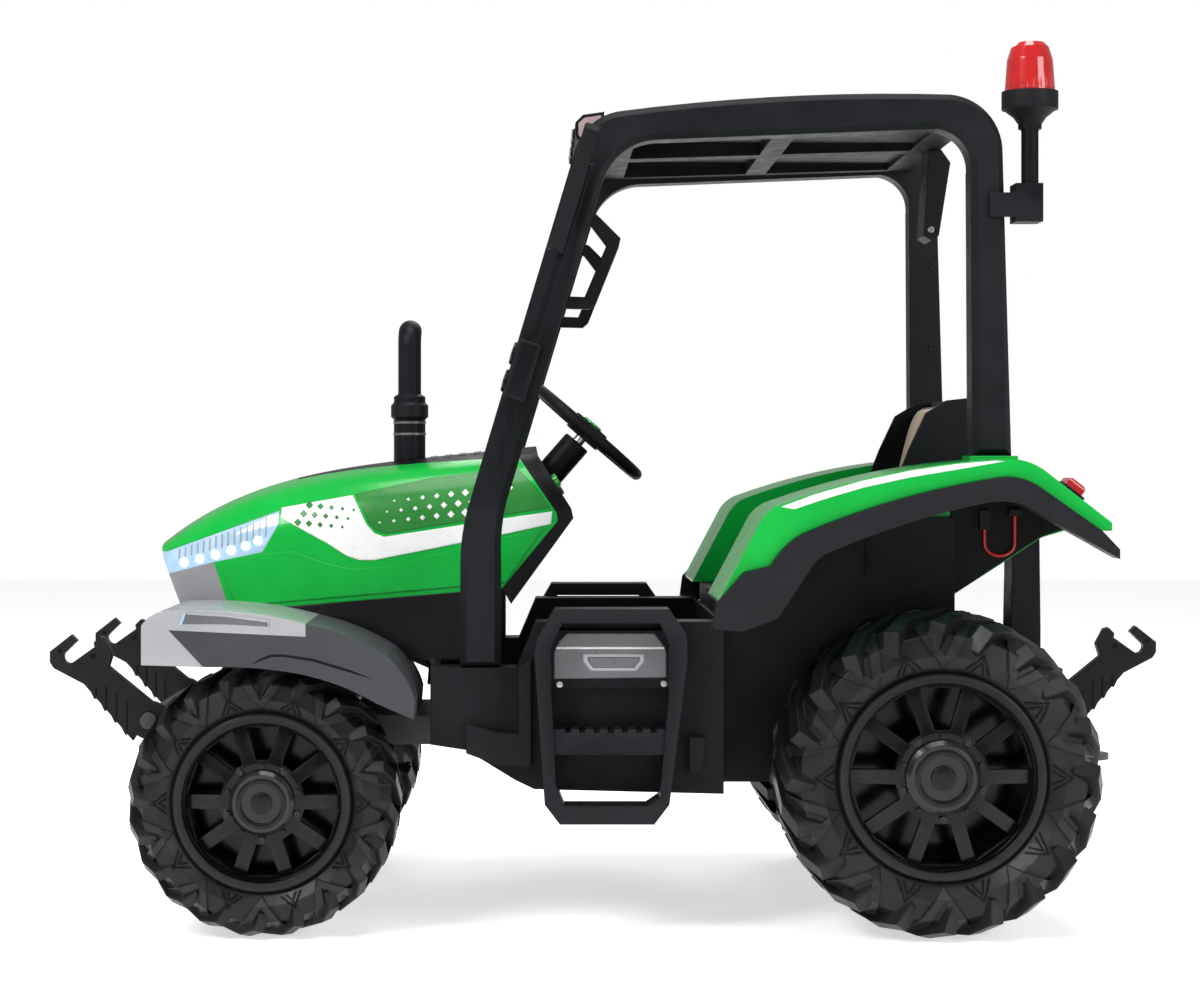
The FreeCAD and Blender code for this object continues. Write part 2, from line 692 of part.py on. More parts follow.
def make_tie_rod():
    """Flat bar slotted over the knuckles' pins, with a slotted plate round the crank's pin."""
    x = d.front_axle_x + d.steer_arm
    low = d.front_tyre_radius + knuckle_levels()[1] + d.fit_gap * 3
    high = low + d.tie_height - 4
    pin = d.crank_pin_radius + d.swing_gap
    front, rear = shaft_x(low) + d.crank_radius * 0.5, shaft_x(low) + d.crank_radius * 2.1
    parts = [box((x - 11, x + 11), (-d.kingpin_half - 16, d.kingpin_half + 16), (low, high)),
             box((front - 9, rear + 9), (-22, 22), (low, high))]
    slots = [box((front, rear), (-pin - 0.5, pin + 0.5), (low - 1, high + 1))]
    for y in (-d.kingpin_half, d.kingpin_half):
        slots.append(box((x - pin - 3, x + pin), (y - pin, y + pin), (low - 1, high + 1)))
    node("tie_rod", cut(fuse(parts), *slots))


def on_column(item):
    """Stands an item on the steering axis, its origin at the wheel's centre."""
    return place(item, d.hub_x, 0, d.hub_z, (0, 1, 0), d.wheel_lean)


def make_steering():
    """Wheel, horn button and shaft with its crank."""
    wheel = new_body("SteeringWheel")
    grip = wheel.newObject("PartDesign::Revolution", "Grip")
    grip.Profile = ring(wheel, "XZ", d.grip_radius, 0, d.grip_tube)
    grip.ReferenceAxis = (grip.Profile[0], ["V_Axis"])
    grip.Angle = 360
    half = d.hub_half
    extrude(wheel, "XY", (0, 0, d.horn_radius + 12), -half, half)
    spoke = extrude(wheel, "XY", [(10, -13), (d.grip_radius, -9), (d.grip_radius, 9), (10, 13)], -5, 4)
    turn_copies(wheel, [spoke], 3, "Z_Axis")
    extrude(wheel, "XY", (0, 0, d.horn_radius + d.running_gap), half - 7, half, cut=True)
    node("steering_wheel", on_column(wheel))
    horn = new_body("Horn")
    extrude(horn, "XY", (0, 0, d.horn_radius), half - 3.5, half + 3)
    soften(horn, 2, lies_on("z", half + 3))
    node("horn_button", on_column(horn))
    shaft = new_body("Shaft")
    end = -d.shaft_length
    reach = d.crank_radius
    arm = 9
    extrude(shaft, "XY", (0, 0, d.shaft_radius), end, -half)
    extrude(shaft, "XY", [(0, -arm), (reach, -arm), (reach, arm), (0, arm)], end, end + 10)
    extrude(shaft, "XY", (0, 0, arm), end, end + 10)
    extrude(shaft, "XY", (reach, 0, arm), end, end + 10)
    extrude(shaft, "XY", (reach, 0, d.crank_pin_radius), end - 40, end)
    node("steering_shaft", on_column(shaft))


def make_pedal():
    """Foot pedal hinged on a two-eared bracket on the footwell floor."""
    x, z, y = d.tub_front_x + 112, d.floor_top + 12, d.pedal_y
    ear, pin = d.pedal_half + 2, d.pedal_pin
    parts = [rod("y", x, z, pin, y - ear - 8, y + ear + 8)]
    for low, high in ((y - ear - 8, y - ear), (y + ear, y + ear + 8)):
        parts.append(box((x - 8, x + 8), (low, high), (d.floor_top, z + 6)))
    node("pedal_bracket", fuse(parts))
    body = new_body("Pedal")
    wide = d.pedal_half
    extrude(body, "XZ", (0, 0, pin + 5), -wide, wide)
    extrude(body, "XZ", [(-4, 2), (4, 6), (-58, 78), (-66, 74)], -wide, wide)
    extrude(body, "XZ", [(-60, 72), (-66, 84), (-74, 86), (-78, 78), (-66, 68)], -wide - 8, wide + 8)
    extrude(body, "XZ", (0, 0, pin + d.running_gap), -wide - 1, wide + 1, cut=True)
    node("pedal", place(body, x, y, z))


# Hood group

# Side-view corners of the seam between hood and dash cowl, and of the cowl's rear face,
# from the hood's rear end and rear top
HOOD_BACK = ((-41, -106), (-42, -96), (-94, -19), (-112, 69))
COWL_BACK = ((-103, -216), (-20, -102), (-23, -89), (-67, -19), (-85, 69))


def from_rear(corners):
    """Side-view corners measured from the hood's rear top edge."""
    return [(d.hood_rear_x + x, d.hood_rear_top + z) for x, z in corners]


def hood_section(body, share, inset_by):
    """Cross-section of the hood at a share of its length from the rear, drawn in by an inset."""
    x = d.hood_rear_x + (d.hood_nose_x - d.hood_rear_x) * share
    half = d.hood_rear_half - (d.hood_rear_half - d.hood_nose_half) * share ** 4 - inset_by
    drop = 0.35 * share + 0.65 * share ** 5
    top = d.hood_rear_top - (d.hood_rear_top - d.hood_nose_top) * drop - inset_by
    low = d.cover_low - inset_by * 3
    tall = top - low
    side = low + tall * 0.68
    crown = top - tall * 0.045
    bend = (half * 0.33 + tall * 0.275) * 0.59
    flat = half * 0.62
    arch = flat * flat / (tall * 0.09) + tall * 0.0225
    return outline(body, "YZ", [
        (-half, low), (half, low), (half * 0.95, side, bend), (flat, crown, arch), (-flat, crown, bend),
        (half * -0.95, side)], x)


def side_form(corners, near=-400, far=400):
    """A block with a side-view outline, across the whole width or part of it."""
    body = new_body("SideForm")
    extrude(body, "XZ", corners, near, far)
    return body


def hood_form(inset_by):
    """Solid hood, cut back to the leaning nose."""
    body = new_body("HoodForm")
    loft(body, [hood_section(body, share, inset_by) for share in (0, 0.25, 0.5, 0.7, 0.85, 1)])
    nose = d.nose_x + inset_by * 1.1
    low, high = d.cover_low - 41, d.hood_rear_top + 69
    lean = 0.407
    rear = d.hood_rear_x + 40
    return common(body, side_form([(nose + (d.nose_z - low) * lean, low), (rear, low), (rear, high),
                                   (nose - (high - d.nose_z) * lean, high)]))


def split_z(x):
    """Height of the seam between hood and engine cover."""
    share = (x - d.split_bend_x) / (d.hood_rear_x - d.split_bend_x)
    return d.hood_split_front + (d.hood_split_rear - d.hood_split_front) * share


def start_form(radius, low, high):
    """Round form square to the dash's upper face."""
    body = new_body("StartForm")
    extrude(body, "XY", (0, 0, radius), low, high)
    return place(body, d.hood_rear_x - 45, -d.start_y, d.hood_rear_top - 54, (0, 1, 0), size(57.9))


def make_hood(outer, inner):
    """Hood, engine cover, lamps, grille, top panel and dash cowl as parts of one lofted skin."""
    shell = cut(outer, inner)
    front, bend = d.hood_split_front, d.split_bend_x
    ahead, above = d.hood_nose_x - 70, d.hood_rear_top + 69
    long, tall = d.split_bend_x - d.nose_x, d.nose_z - d.hood_split_front
    spot = grid(d.nose_x, d.hood_split_front, long, tall)
    lamp = [(ahead, d.nose_z - 8), spot(0.11, 0.907), spot(1.663, 1.558), spot(1.653, 1.337),
            spot(1.446, 0.919), spot(0.782, 0.756), spot(0.248, 0.593), (ahead, d.nose_z - 70)]
    lamps = [side_form(lamp, -400, -d.lamp_inner), side_form(lamp, d.lamp_inner, 400)]
    grille = side_form([(ahead, front), (bend, front), spot(0.782, 0.756), spot(0.248, 0.593),
                        (ahead, d.nose_z - 70)])
    panel = new_body("TopPanelForm")
    wide, rear = d.top_panel_half, d.hood_rear_x - 125
    extrude(panel, "XY", [
        (rear - d.top_panel_length, wide * -0.5), (rear, -wide), (rear, wide),
        (rear - d.top_panel_length, wide * 0.5)], d.hood_rear_top - 71, above)
    corner = d.hood_rear_x - 115
    back = [(corner, split_z(corner))] + from_rear(HOOD_BACK)
    hood = common(shell, side_form([(ahead, front), (bend, front)] + back + [(ahead, above)]))
    node("hood_shell", cut(hood, lamps[0], lamps[1], grille, panel))
    node("hood_top_panel", common(hood, panel))
    node("nose_grille", common(shell, grille))
    group("headlamps", [common(shell, form) for form in lamps])
    rear = d.hood_rear_x - 130
    low = d.cover_low - 41
    node("engine_cover", common(shell, side_form([
        (ahead, low), (rear, low), (rear, split_z(rear)), (bend, front), (ahead, front)])))
    band = from_rear(COWL_BACK) + back[::-1]
    within = [(x - d.cowl_wall, z) for x, z in band]
    dash = cut(common(outer, side_form(band)), common(inner, side_form(within)))
    tube = new_body("Column")
    length = d.column_length
    extrude(tube, "XY", (0, 0, d.column_radius), -length - 40, -20)
    soften(tube, 3, lies_on("z", -20))
    cowl_front = from_rear(COWL_BACK) + [(d.hood_rear_x - 280, above), (d.hood_rear_x - 280, front)]
    passage = new_body("Passage")
    extrude(passage, "XY", (0, 0, d.shaft_radius + d.running_gap), -length * 2, 0)
    column = cut(on_column(tube), side_form(cowl_front))
    node("dash_cowl", cut(fuse([dash, column]), on_column(passage),
                          start_form(d.button_radius + d.running_gap, -30, 30)))
    node("start_button", start_form(d.button_radius, -9, 6))


def make_exhaust(hood):
    """Stack with a collar, and a thinner pipe whose end bends to the right."""
    body = new_body("Exhaust")
    wide, slim, top = d.stack_radius, d.pipe_radius, d.stack_top
    spin(body, [(0, top - 150), (wide, top - 150), (wide, top - 32), (wide + 4, top - 28),
                (wide + 4, top - 12), (wide, top - 8), (wide, top), (slim, top + 4), (0, top + 4)],
         "XZ", "V_Axis")
    pipe = body.newObject("PartDesign::AdditivePipe", "Pipe")
    pipe.Profile = ring(body, "XY", 0, 0, slim, top)
    bend = slim * 1.4
    rise = d.pipe_top - bend
    spine = outline(body, "YZ", [(0, top), (0, rise, -bend), (bend, d.pipe_top)], closed=False)
    pipe.Spine = (spine, ["Edge1", "Edge2"])
    node("exhaust_stack", cut(place(body, d.stack_x), hood))


# Fenders

def inset(chain, wall, closed=False):
    """Draws a clockwise chain of corners in by a wall, with its arcs."""
    flat = [V(number(corner[0]), number(corner[1]), 0) for corner in chain]
    inner = []
    for index, corner in enumerate(chain):
        sides = []
        for a, b in ((index - 1, index), (index, index + 1)):
            if closed or (a >= 0 and b < len(flat)):
                run = flat[b % len(flat)] - flat[a]
                sides.append(V(run.y, -run.x, 0).normalize())
        normal = (sides[0] + sides[-1]).normalize()
        scale = 1 / normal.dot(sides[0])
        spot = (corner[0] + wall * (normal.x * scale), corner[1] + wall * (normal.y * scale))
        inner.append(spot + ((corner[2] + wall,) if len(corner) == 3 else ()))
    return inner


def backwards(chain):
    """The same open chain of corners walked the other way."""
    flipped = []
    for index in range(len(chain) - 1, -1, -1):
        before = chain[index - 1] if index > 0 else ()
        flipped.append(chain[index][:2] + ((-1 * before[2],) if len(before) == 3 else ()))
    return flipped


def make_front_fenders(hood):
    """Curved shell over the front wheel, with a silver cap along its nose and top."""
    body = new_body("FrontFender")
    long = d.nose_fender_rear_x - d.nose_fender_front_x
    spot = grid(d.nose_fender_front_x, d.nose_fender_low, long, d.nose_fender_top - d.nose_fender_low)
    top = [spot(0, 0.5), spot(0, 0.86, long * -0.12), spot(0.1, 1), spot(0.25, 1, long * -1.5),
           spot(0.602, 0.876, long * -0.9), spot(0.895, 0.584, long * -0.33), spot(1, 0.175), spot(0.994, 0)]
    under = [spot(0.86, 0.146, long * 0.9), spot(0.532, 0.438, long * 1.6), spot(0.25, 0.482)]
    outer, inner, wall = -d.fender_half, -d.nose_fender_inner, d.fender_wall
    extrude(body, "XZ", top + under, outer, inner)
    hollow = inset(top, wall)
    low = d.nose_fender_low - 60
    extrude(body, "XZ", hollow + [(hollow[-1][0], low), (hollow[0][0], low)],
            outer + wall, inner + 1, cut=True)
    whole = cut(body, hood)
    silver = side_form([spot(-0.1, 0.1), spot(0.25, 0.42), spot(0.1, 0.82), spot(0.6, 0.76), spot(0.6, 1.3),
                        spot(-0.1, 1.3)], outer - 20, -80)
    fender = cut(whole, silver)
    cap = common(whole, silver)
    group("front_fenders", [fender, mirror(fender)])
    group("fender_nose_caps", [cap, mirror(cap)])


def make_rear_fenders():
    """Green fender shells with an inner wall beside the seat, black arch trims and tail lamps."""
    long = d.rear_fender_rear_x - d.rear_fender_front_x
    spot = grid(d.rear_fender_front_x, d.housing_top, long, d.rear_fender_top - d.housing_top)
    top = [spot(0, 0), spot(0.109, 0.567, long * -0.101), spot(0.166, 0.689, long * -1.915),
           spot(0.731, 1, long * -0.152), spot(0.834, 0.911), spot(1, 0.556), spot(1, 0.5)]
    seam = [spot(0.972, 0.5), spot(0.814, 0.806, long * 0.142), spot(0.715, 0.872, long * 2.0),
            spot(0.213, 0.478, long * 0.2), spot(0.134, 0.256), spot(0.065, 0.211), spot(-0.006, -0.005)]
    body = new_body("RearFender")
    outer, inner, wall = -d.fender_half, -d.inner_wall, d.fender_wall
    extrude(body, "XZ", top + seam[:-1], outer, inner)
    hollow = inset(top, wall)
    low = d.housing_top - 60
    extrude(body, "XZ", hollow + [(hollow[-1][0], low), (hollow[0][0], low)],
            outer + wall, inner + 1, cut=True)
    extrude(body, "XZ", top + [spot(0.9, 0.42), spot(0.664, 0)], inner - wall, inner)
    front, rear = d.pillar_b_x - d.pillar_b_width - 6, d.pillar_b_x + 6
    near, far = -d.frame_outer - 4, 4 - d.frame_inner
    extrude(body, "XY", [(front, near), (rear, near), (rear, far), (front, far)],
            d.rear_fender_top - 10, d.foot_pad)
    group("rear_fenders", [body, mirror(body)])
    trim = new_body("ArchTrim")
    arch = [spot(-0.014, -0.18), spot(0.06, -0.2), spot(0.15, -0.11), spot(0.243, 0.278, long * -0.12),
            spot(0.29, 0.361, long * -2.0), spot(0.676, 0.694, long * -0.2), spot(0.773, 0.683),
            spot(1.016, 0.306)]
    extrude(trim, "XZ", arch[:1] + backwards(seam) + [spot(1.016, 0.372)] + backwards(arch)[:-1],
            outer - d.trim_depth, outer)
    extrude(trim, "XZ", arch + backwards(inset(arch, -1 * wall)), outer - 1, outer + d.trim_return)
    group("arch_trims", [trim, mirror(trim)])
    lamp = new_body("TailLamp")
    extrude(lamp, "XY", [(-17, -25), (17, -25), (17, 25), (-17, 25)], 0, 9)
    extrude(lamp, "XY", [(-13, -20), (13, -20), (13, 20), (-13, 20)], 8, 23)
    soften(lamp, 6, lies_on("z", 23))
    run, fall = top[5][0] - top[4][0], top[4][1] - top[5][1]
    slope = math.degrees(math.atan2(fall.value, run.value))
    place(lamp, top[4][0] + run * 0.5, -d.lamp_y, top[4][1] - fall * 0.5, (0, 1, 0), size(slope))
    group("tail_lamps", [lamp, mirror(lamp)])


def make_deck():
    """Deck behind the seat and the channel-shaped tower from it down to the tail."""
    body = new_body("Deck")
    deck, plate = d.deck_z, d.plate
    rear = d.rear_fender_rear_x - 22
    extrude(body, "XZ", [(d.housing_rear_x + 7, deck), (rear, deck), (rear, deck + plate),
                         (d.housing_rear_x + 7, deck + plate)], -d.inner_wall, d.inner_wall)
    back, top = d.tail_rear_x, d.tail_top
    channel = [(rear - 40, deck), (back - 42, top), (back, top), (back, top + 42), (rear - 4, deck)]
    extrude(body, "XZ", channel, -30, 30)
    extrude(body, "XZ", [(rear - 30, deck), (back - 32, top), (back + 9, top), (back + 9, deck)],
            -24, 24, cut=True)
    node("rear_deck", body)


# Cab

def make_cab():
    """Side frames with bevelled faces and mirror hinges, ribbed roof, lamp bar and rear cross board."""
    a, wide_a = d.pillar_a_x, d.pillar_a_width
    b, wide_b = d.pillar_b_x, d.pillar_b_width
    top, rail, foot = d.cab_top, d.roof_rail, d.pod_top
    outer, inner = -d.frame_outer, -d.frame_inner
    body = new_body("CabFrame")
    corners = [
        (a, foot), (a, foot + 138, size(-283)), (a + 14, foot + 219), (a + 147, top - 74, size(-70)),
        (a + 207, top - 23, size(-2680)), (b - 79, top - 2, size(-74)), (b - 11, top - 77), (b, d.foot_pad),
        (b - wide_b, d.foot_pad), (b - wide_b - 2, top - 60 - rail, size(50)),
        (b - wide_b - 44, top - 4 - rail),
        (a + wide_a + 200, top - 18 - rail, size(76)), (a + wide_a + 131, top - 70 - rail),
        (a + wide_a + 7, foot + 211, size(252)), (a + wide_a, foot + 138), (a + wide_a, foot)]
    bevel = d.frame_bevel
    extrude(body, "XZ", corners, outer + bevel, inner)
    loft(body, [outline(body, "XZ", corners, outer + bevel),
                outline(body, "XZ", inset(corners, bevel * 0.8, closed=True), outer)], ruled=True)
    lugs = new_body("MirrorLugs")
    deep, pin = d.hinge_offset, d.hinge_radius / 2
    extrude(lugs, "XY", (0, 0, pin), -30, 30)
    for low, high in ((-30, -20), (20, 30)):
        extrude(lugs, "XY", [(-8, deep + 1), (-8, -4), (-4, -8), (4, -8), (8, -4), (8, deep + 1)], low, high)
    frame = fuse([body, at_mirror(lugs)])
    group("cab_frames", [frame, mirror(frame)])
    roof = new_body("Roof")
    front, rear = a + 187, b - 49
    extrude(roof, "XZ", [(front, top - 55), (rear - 10, top - 41), (rear, top - 41), (rear, top - 27),
                         (rear - 35, top - 9, size(2600)), (front + 40, top - 24), (front, top - 36)],
            inner, -inner)
    for near, far in ((front + 40, front + 220), (front + 250, rear - 40)):
        for low, high in ((30 + inner, -20), (20, -inner - 30)):
            pocket = [(near, low), (far, low), (far, high), (near, high)]
            extrude(roof, "XY", pocket, top - 80, top - 33, cut=True)
    node("roof_panel", roof)
    bar = new_body("LampBar")
    start = front - d.lamp_bar_depth
    extrude(bar, "XZ", [(front, top - 53), (front, top - 12), (start + 10, top - 16), (start, top - 26),
                        (start, top - 44), (start + 8, top - 54)], 50 + inner, -50 - inner)
    for y in (-140, -60, 60, 140):
        extrude(bar, "YZ", (y, top - 35, 8), start - 3, start)
    node("roof_lamp_bar", bar)
    board = new_body("RearBoard")
    extrude(board, "XZ", [(b - 73, top - 161), (b - 66, top - 41.5), (b - 49, top - 41.5), (b - 36, top - 60),
                          (b - 52, top - 161), (b - 62, top - 168)], -d.board_half, d.board_half)
    node("cab_rear_board", board)


def at_mirror(item):
    """Stands an item on the left mirror's hinge axis."""
    y = -d.frame_outer - d.hinge_offset
    return place(item, d.pillar_a_x + 145, y, d.cab_top - 129, (0, 1, 0), d.pillar_lean)


def make_cab_fittings():
    """Grab handles, work lamps, mirrors and the beacon on its stand."""
    a, top = d.pillar_a_x, d.cab_top
    handle = new_body("Handle")
    path = ((158, 148), (176, 152), (207, 183), (204, 196), (175, 268), (167, 275), (128, 274), (131, 258),
            (160, 259), (188, 193), (169, 168), (155, 165))
    inner = -d.frame_inner
    extrude(handle, "XZ", [(a + x, top - z) for x, z in path], inner, inner + 2 * d.grip_half)
    soften(handle, 3, lies_on("y", inner + 2 * d.grip_half))
    group("grab_handles", [handle, mirror(handle)])
    lamp = new_body("WorkLamp")
    extrude(lamp, "XZ", [(-14, -38), (14, -38), (14, 38), (-14, 38)], -45, 0)
    soften(lamp, 5, lies_on("y", -45))
    for z in (-18, 18):
        extrude(lamp, "YZ", (-22, z, 15), -17, -13)
    place(lamp, a + 79, -d.frame_outer, top - 357, (0, 1, 0), d.pillar_lean)
    group("work_lamps", [lamp, mirror(lamp)])
    glass = new_body("Mirror")
    sleeve, thick = d.hinge_radius, d.mirror_depth / 2
    extrude(glass, "XY", (0, 0, sleeve), -19.6, 19.6)
    extrude(glass, "XY", [(-6, -20), (6, -20), (6, 0), (-6, 0)], -14, 14)
    tall, wide = d.mirror_height / 2, d.mirror_width
    extrude(glass, "YZ", [
        (-wide - 12, 8 - tall), (-wide - 4, -tall), (-20, -tall), (-12, 8 - tall), (-12, tall - 8),
        (-20, tall), (-wide - 4, tall), (-wide - 12, tall - 8)], -thick, thick)
    soften(glass, 3.5, lies_on("x", -thick))
    extrude(glass, "YZ", [(-wide - 7, 8 - tall), (-17, 8 - tall), (-17, tall - 8), (-wide - 7, tall - 8)],
            thick - 2, thick, cut=True)
    extrude(glass, "XY", (0, 0, sleeve / 2 + d.running_gap), -20, 20, cut=True)
    pair("mirror", at_mirror(glass))
    b, y, side = d.pillar_b_x, 16 - d.frame_outer, -d.frame_outer
    stand = [box((b - 30, b + 38), (side - 6, side), (top - 160, top - 129)),
             box((b + 3, b + 38), (side - 6, side + 36), (top - 166, top - 117)),
             rod("z", b + 25, y, d.stalk_radius, top - 118, top - 40),
             rod("z", b + 25, y, d.stalk_radius + 4, top - 46, top - 20),
             rod("z", b + 25, y, d.beacon_radius + 4, top - 21, top + 2)]
    node("beacon_stand", fuse(stand))
    lens = new_body("Beacon")
    wide, tall = d.beacon_radius, d.beacon_height
    outside = [(wide - 3, 0), (wide, 0), (wide - 3, tall * 0.65), (wide - 8, tall - 6), (wide - 14, tall),
               (0, tall)]
    inside = [(0, tall - 3), (wide - 15, tall - 3), (wide - 11, tall - 8), (wide - 6, tall * 0.65)]
    spin(lens, outside + inside, "XZ", "V_Axis")
    flute = extrude(lens, "XY", (wide + 0.4, 0, 1.6), 3, tall - 8, cut=True)
    turn_copies(lens, [flute], 24, "Z_Axis")
    node("beacon_lens", place(lens, b + 25, y, top + 2))


# Seat, steps, hooks and lead

def make_seat():
    """Bucket shell with side bolsters, and its seat and back pads."""
    front, back, base, half = d.seat_front_x, d.seat_back_x, d.housing_top, d.seat_half
    wall, high = d.seat_shell, d.seat_back_top
    shell = new_body("SeatShell")
    extrude(shell, "XZ", [(front, base), (back + 10, base), (back + 35, base + 22), (back + 89, high - 10),
                          (back + 79, high), (back + 67, high - 2), (back + 17, base + 42), (back, base + 12),
                          (front, base + 12)], -half, half)
    for near, far in ((-half, wall - half), (half - wall, half)):
        extrude(shell, "XZ", [
            (front, base), (back + 10, base), (back + 35, base + 22), (back + 89, high - 10),
            (back + 79, high), (back + 44, high - 4), (back + 16, high - 21), (back - 7, high - 70),
            (back - 18, high - 98), (back - 25, base + 72), (back - 55, base + 44), (front + 10, base + 34),
            (front, base + 26)], near, far)
    node("seat_shell", shell)
    inner = half - wall
    pad = new_body("SeatPad")
    gap = d.fit_gap
    floor = base + 12 + gap
    extrude(pad, "XZ", [
        (front + 2, floor), (back - 1, floor), (back + 12, floor + 25), (back - 20, floor + 28),
        (front + 60, floor + 24, size(90)), (front + 2, floor + 12)], gap - inner, inner - gap)
    soften(pad, 6, lies_on("y", gap - inner))
    rest = new_body("BackPad")
    run = 50 / (high - base - 44).value
    face = d.pad_height
    length = high - base - 50
    foot = back + 16.5
    extrude(rest, "XZ", [(foot, base + 43), (foot + length * run, base + 43 + length),
                         (foot + length * run - face, base + 36 + length), (foot - face, base + 46)],
            gap - inner, inner - gap)
    soften(rest, 8, lies_on("y", gap - inner))
    group("seat_pads", [pad, rest])


def make_steps():
    """Looped step frame on each sill, with its panel and a grooved tread."""
    body = new_body("Step")
    wide, tall = d.step_rear_x - d.step_front_x, d.step_top - d.step_low
    spot = grid(d.step_front_x, d.step_low, wide, tall)
    outer, inner = -d.step_outer, -d.sill_half
    extrude(body, "XZ", [
        spot(0.135, 1), spot(0.881, 1), spot(0.995, 0.882), spot(1, 0.764), spot(0.881, 0.092),
        spot(0.782, 0), spot(0.166, 0), spot(0.067, 0.092), spot(0, 0.786), spot(0.016, 0.856)], outer, inner)
    extrude(body, "XZ", [
        spot(0.181, 0.934), spot(0.819, 0.934), spot(0.886, 0.83), spot(0.886, 0.672), spot(0.819, 0.125),
        spot(0.736, 0.085), spot(0.197, 0.085), spot(0.14, 0.185), spot(0.109, 0.649), spot(0.109, 0.823)],
        outer - 1, inner + 1, cut=True)
    panel = [spot(0.1, 0.62), spot(0.92, 0.62), spot(0.92, 0.893), spot(0.1, 0.893)]
    extrude(body, "XZ", panel, inner - 12, inner)
    tread = d.tread_z
    bar = [(spot(0.1, 0)[0], tread - 16), (spot(0.87, 0)[0], tread - 16), (spot(0.88, 0)[0], tread + 16),
           (spot(0.09, 0)[0], tread + 16)]
    extrude(body, "XZ", bar, outer + 4, inner)
    near, far = spot(0.2, 0)[0], spot(0.24, 0)[0]
    groove = extrude(body, "XY", [(near, outer), (far, outer), (far, inner), (near, inner)],
                     tread + 12, tread + 17, cut=True)
    row_copies(body, [groove], "X_Axis", wide * 0.56, 7)
    group("step_frames", [body, mirror(body)])


def hook_arm(sign, middle):
    """Curved hook on a pivot boss; sign -1 points forward and +1 points back."""
    body = new_body("HookArm")
    spread = d.hook_thick / 2
    throat = d.hook_throat / 2
    edge = [(-7, 22), (53, 71), (48, 88), (59, 109), (65, 111), (73, 103), (72, 97)]
    tip = [(95, 105), (103, 113), (131, 91), (131, 77), (126, 69), (86, 48), (21, -27)]
    across, up = throat * 0.64, throat * 0.77
    mouth = [(107 - across, 82 - up, throat * 1.04 * sign), (107 + across, 82 + up)]
    corners = []
    for a, b, *bend in edge + mouth + tip:
        corners.append((d.pivot_x * sign + a * sign, d.pivot_z + b, *bend))
    extrude(body, "XZ", corners, middle - spread, middle + spread)
    extrude(body, "XZ", (d.pivot_x * sign, d.pivot_z, d.bar_radius + 14), middle - spread, middle + spread)
    extrude(body, "XZ", (d.pivot_x * sign, d.pivot_z, d.bar_radius + d.running_gap), middle - spread - 1,
            middle + spread + 1, cut=True)
    return body


def make_hooks():
    pair("front_hook_arm", hook_arm(-1, -d.hook_y))
    node("rear_hook_arm", hook_arm(1, size(0)))


def make_lead():
    """Battery plug and grommet on the left fender's inner wall, and the looped lead between them."""
    face = -d.inner_wall - d.fender_wall
    y, x, bend = face - 6, d.plug_x, d.lead_bend
    plug, eye = d.plug_z, d.plug_z + 18
    far = x + 2 * bend
    group("battery_plug", [box((x - 7, x + 7), (face - 12, face), (plug, plug + 26)),
                           box((far - 8, far + 8), (face - 12, face), (eye, eye + 9))])
    body = new_body("Lead")
    wire = body.newObject("PartDesign::AdditivePipe", "Wire")
    wire.Profile = ring(body, "XY", x, y, d.wire_radius, plug)
    low = plug - 14
    route = [(x, plug), (x, low, bend), (x + bend, low - bend, bend), (far, low), (far, eye)]
    wire.Spine = (outline(body, "XZ", route, y, closed=False), ["Edge1", "Edge2", "Edge3", "Edge4"])
    node("battery_lead", body)


def main():
    outer = hood_form(size(0))
    inner = hood_form(d.skin)
    make_wheels()
    make_tub()
    make_rear_housing()
    make_tail()
    make_subframe(inner)
    make_front_axle()
    make_knuckles()
    make_tie_rod()
    make_steering()
    make_pedal()
    make_hood(outer, inner)
    make_exhaust(outer)
    make_front_fenders(outer)
    make_rear_fenders()
    make_deck()
    make_cab()
    make_cab_fittings()
    make_seat()
    make_steps()
    make_hooks()
    make_lead()


main()
doc.recompute()
failed = []
for item in doc.Objects:
    if "Invalid" in item.State or "Error" in item.State:
        failed.append(f"{item.Name} ({item.Label})")
for label, item in nodes.items():
    if item.Shape.isNull() or not item.Shape.isValid() or not item.Shape.Solids:
        failed.append(f"{label} has no valid shape")
if failed:
    raise RuntimeError(", ".join(failed))
os.makedirs("parts", exist_ok=True)
for label, item in nodes.items():
    item.Shape.exportStep(f"parts/{label}.step")
    print(label, len(item.Shape.Solids), round(item.Shape.Volume / 1000), "cm3")
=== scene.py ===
"""Ride-on toy tractor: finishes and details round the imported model. Metres; front -X, left -Y, up +Z."""

import math
from collections import namedtuple

import bmesh
import bpy
from mathutils import Matrix, Vector
from mathutils.bvhtree import BVHTree


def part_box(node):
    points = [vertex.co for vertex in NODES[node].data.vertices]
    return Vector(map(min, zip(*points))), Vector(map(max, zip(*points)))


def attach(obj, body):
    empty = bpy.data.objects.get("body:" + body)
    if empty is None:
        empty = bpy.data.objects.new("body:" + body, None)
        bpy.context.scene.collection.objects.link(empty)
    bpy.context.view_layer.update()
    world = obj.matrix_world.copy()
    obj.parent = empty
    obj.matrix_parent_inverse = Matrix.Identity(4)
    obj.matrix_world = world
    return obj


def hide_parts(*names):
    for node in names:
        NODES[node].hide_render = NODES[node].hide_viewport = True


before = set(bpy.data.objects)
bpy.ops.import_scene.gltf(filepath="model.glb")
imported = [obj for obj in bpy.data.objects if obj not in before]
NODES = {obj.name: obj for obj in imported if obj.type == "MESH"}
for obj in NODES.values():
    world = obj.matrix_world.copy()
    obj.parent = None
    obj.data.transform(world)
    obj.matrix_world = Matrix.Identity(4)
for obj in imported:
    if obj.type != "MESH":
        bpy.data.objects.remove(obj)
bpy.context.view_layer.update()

# The photograph: its size in pixels and the camera that matches it
PHOTO = (1200, 997)
FOCAL_PX = 2560
CENTRE_PX = (535, 455)
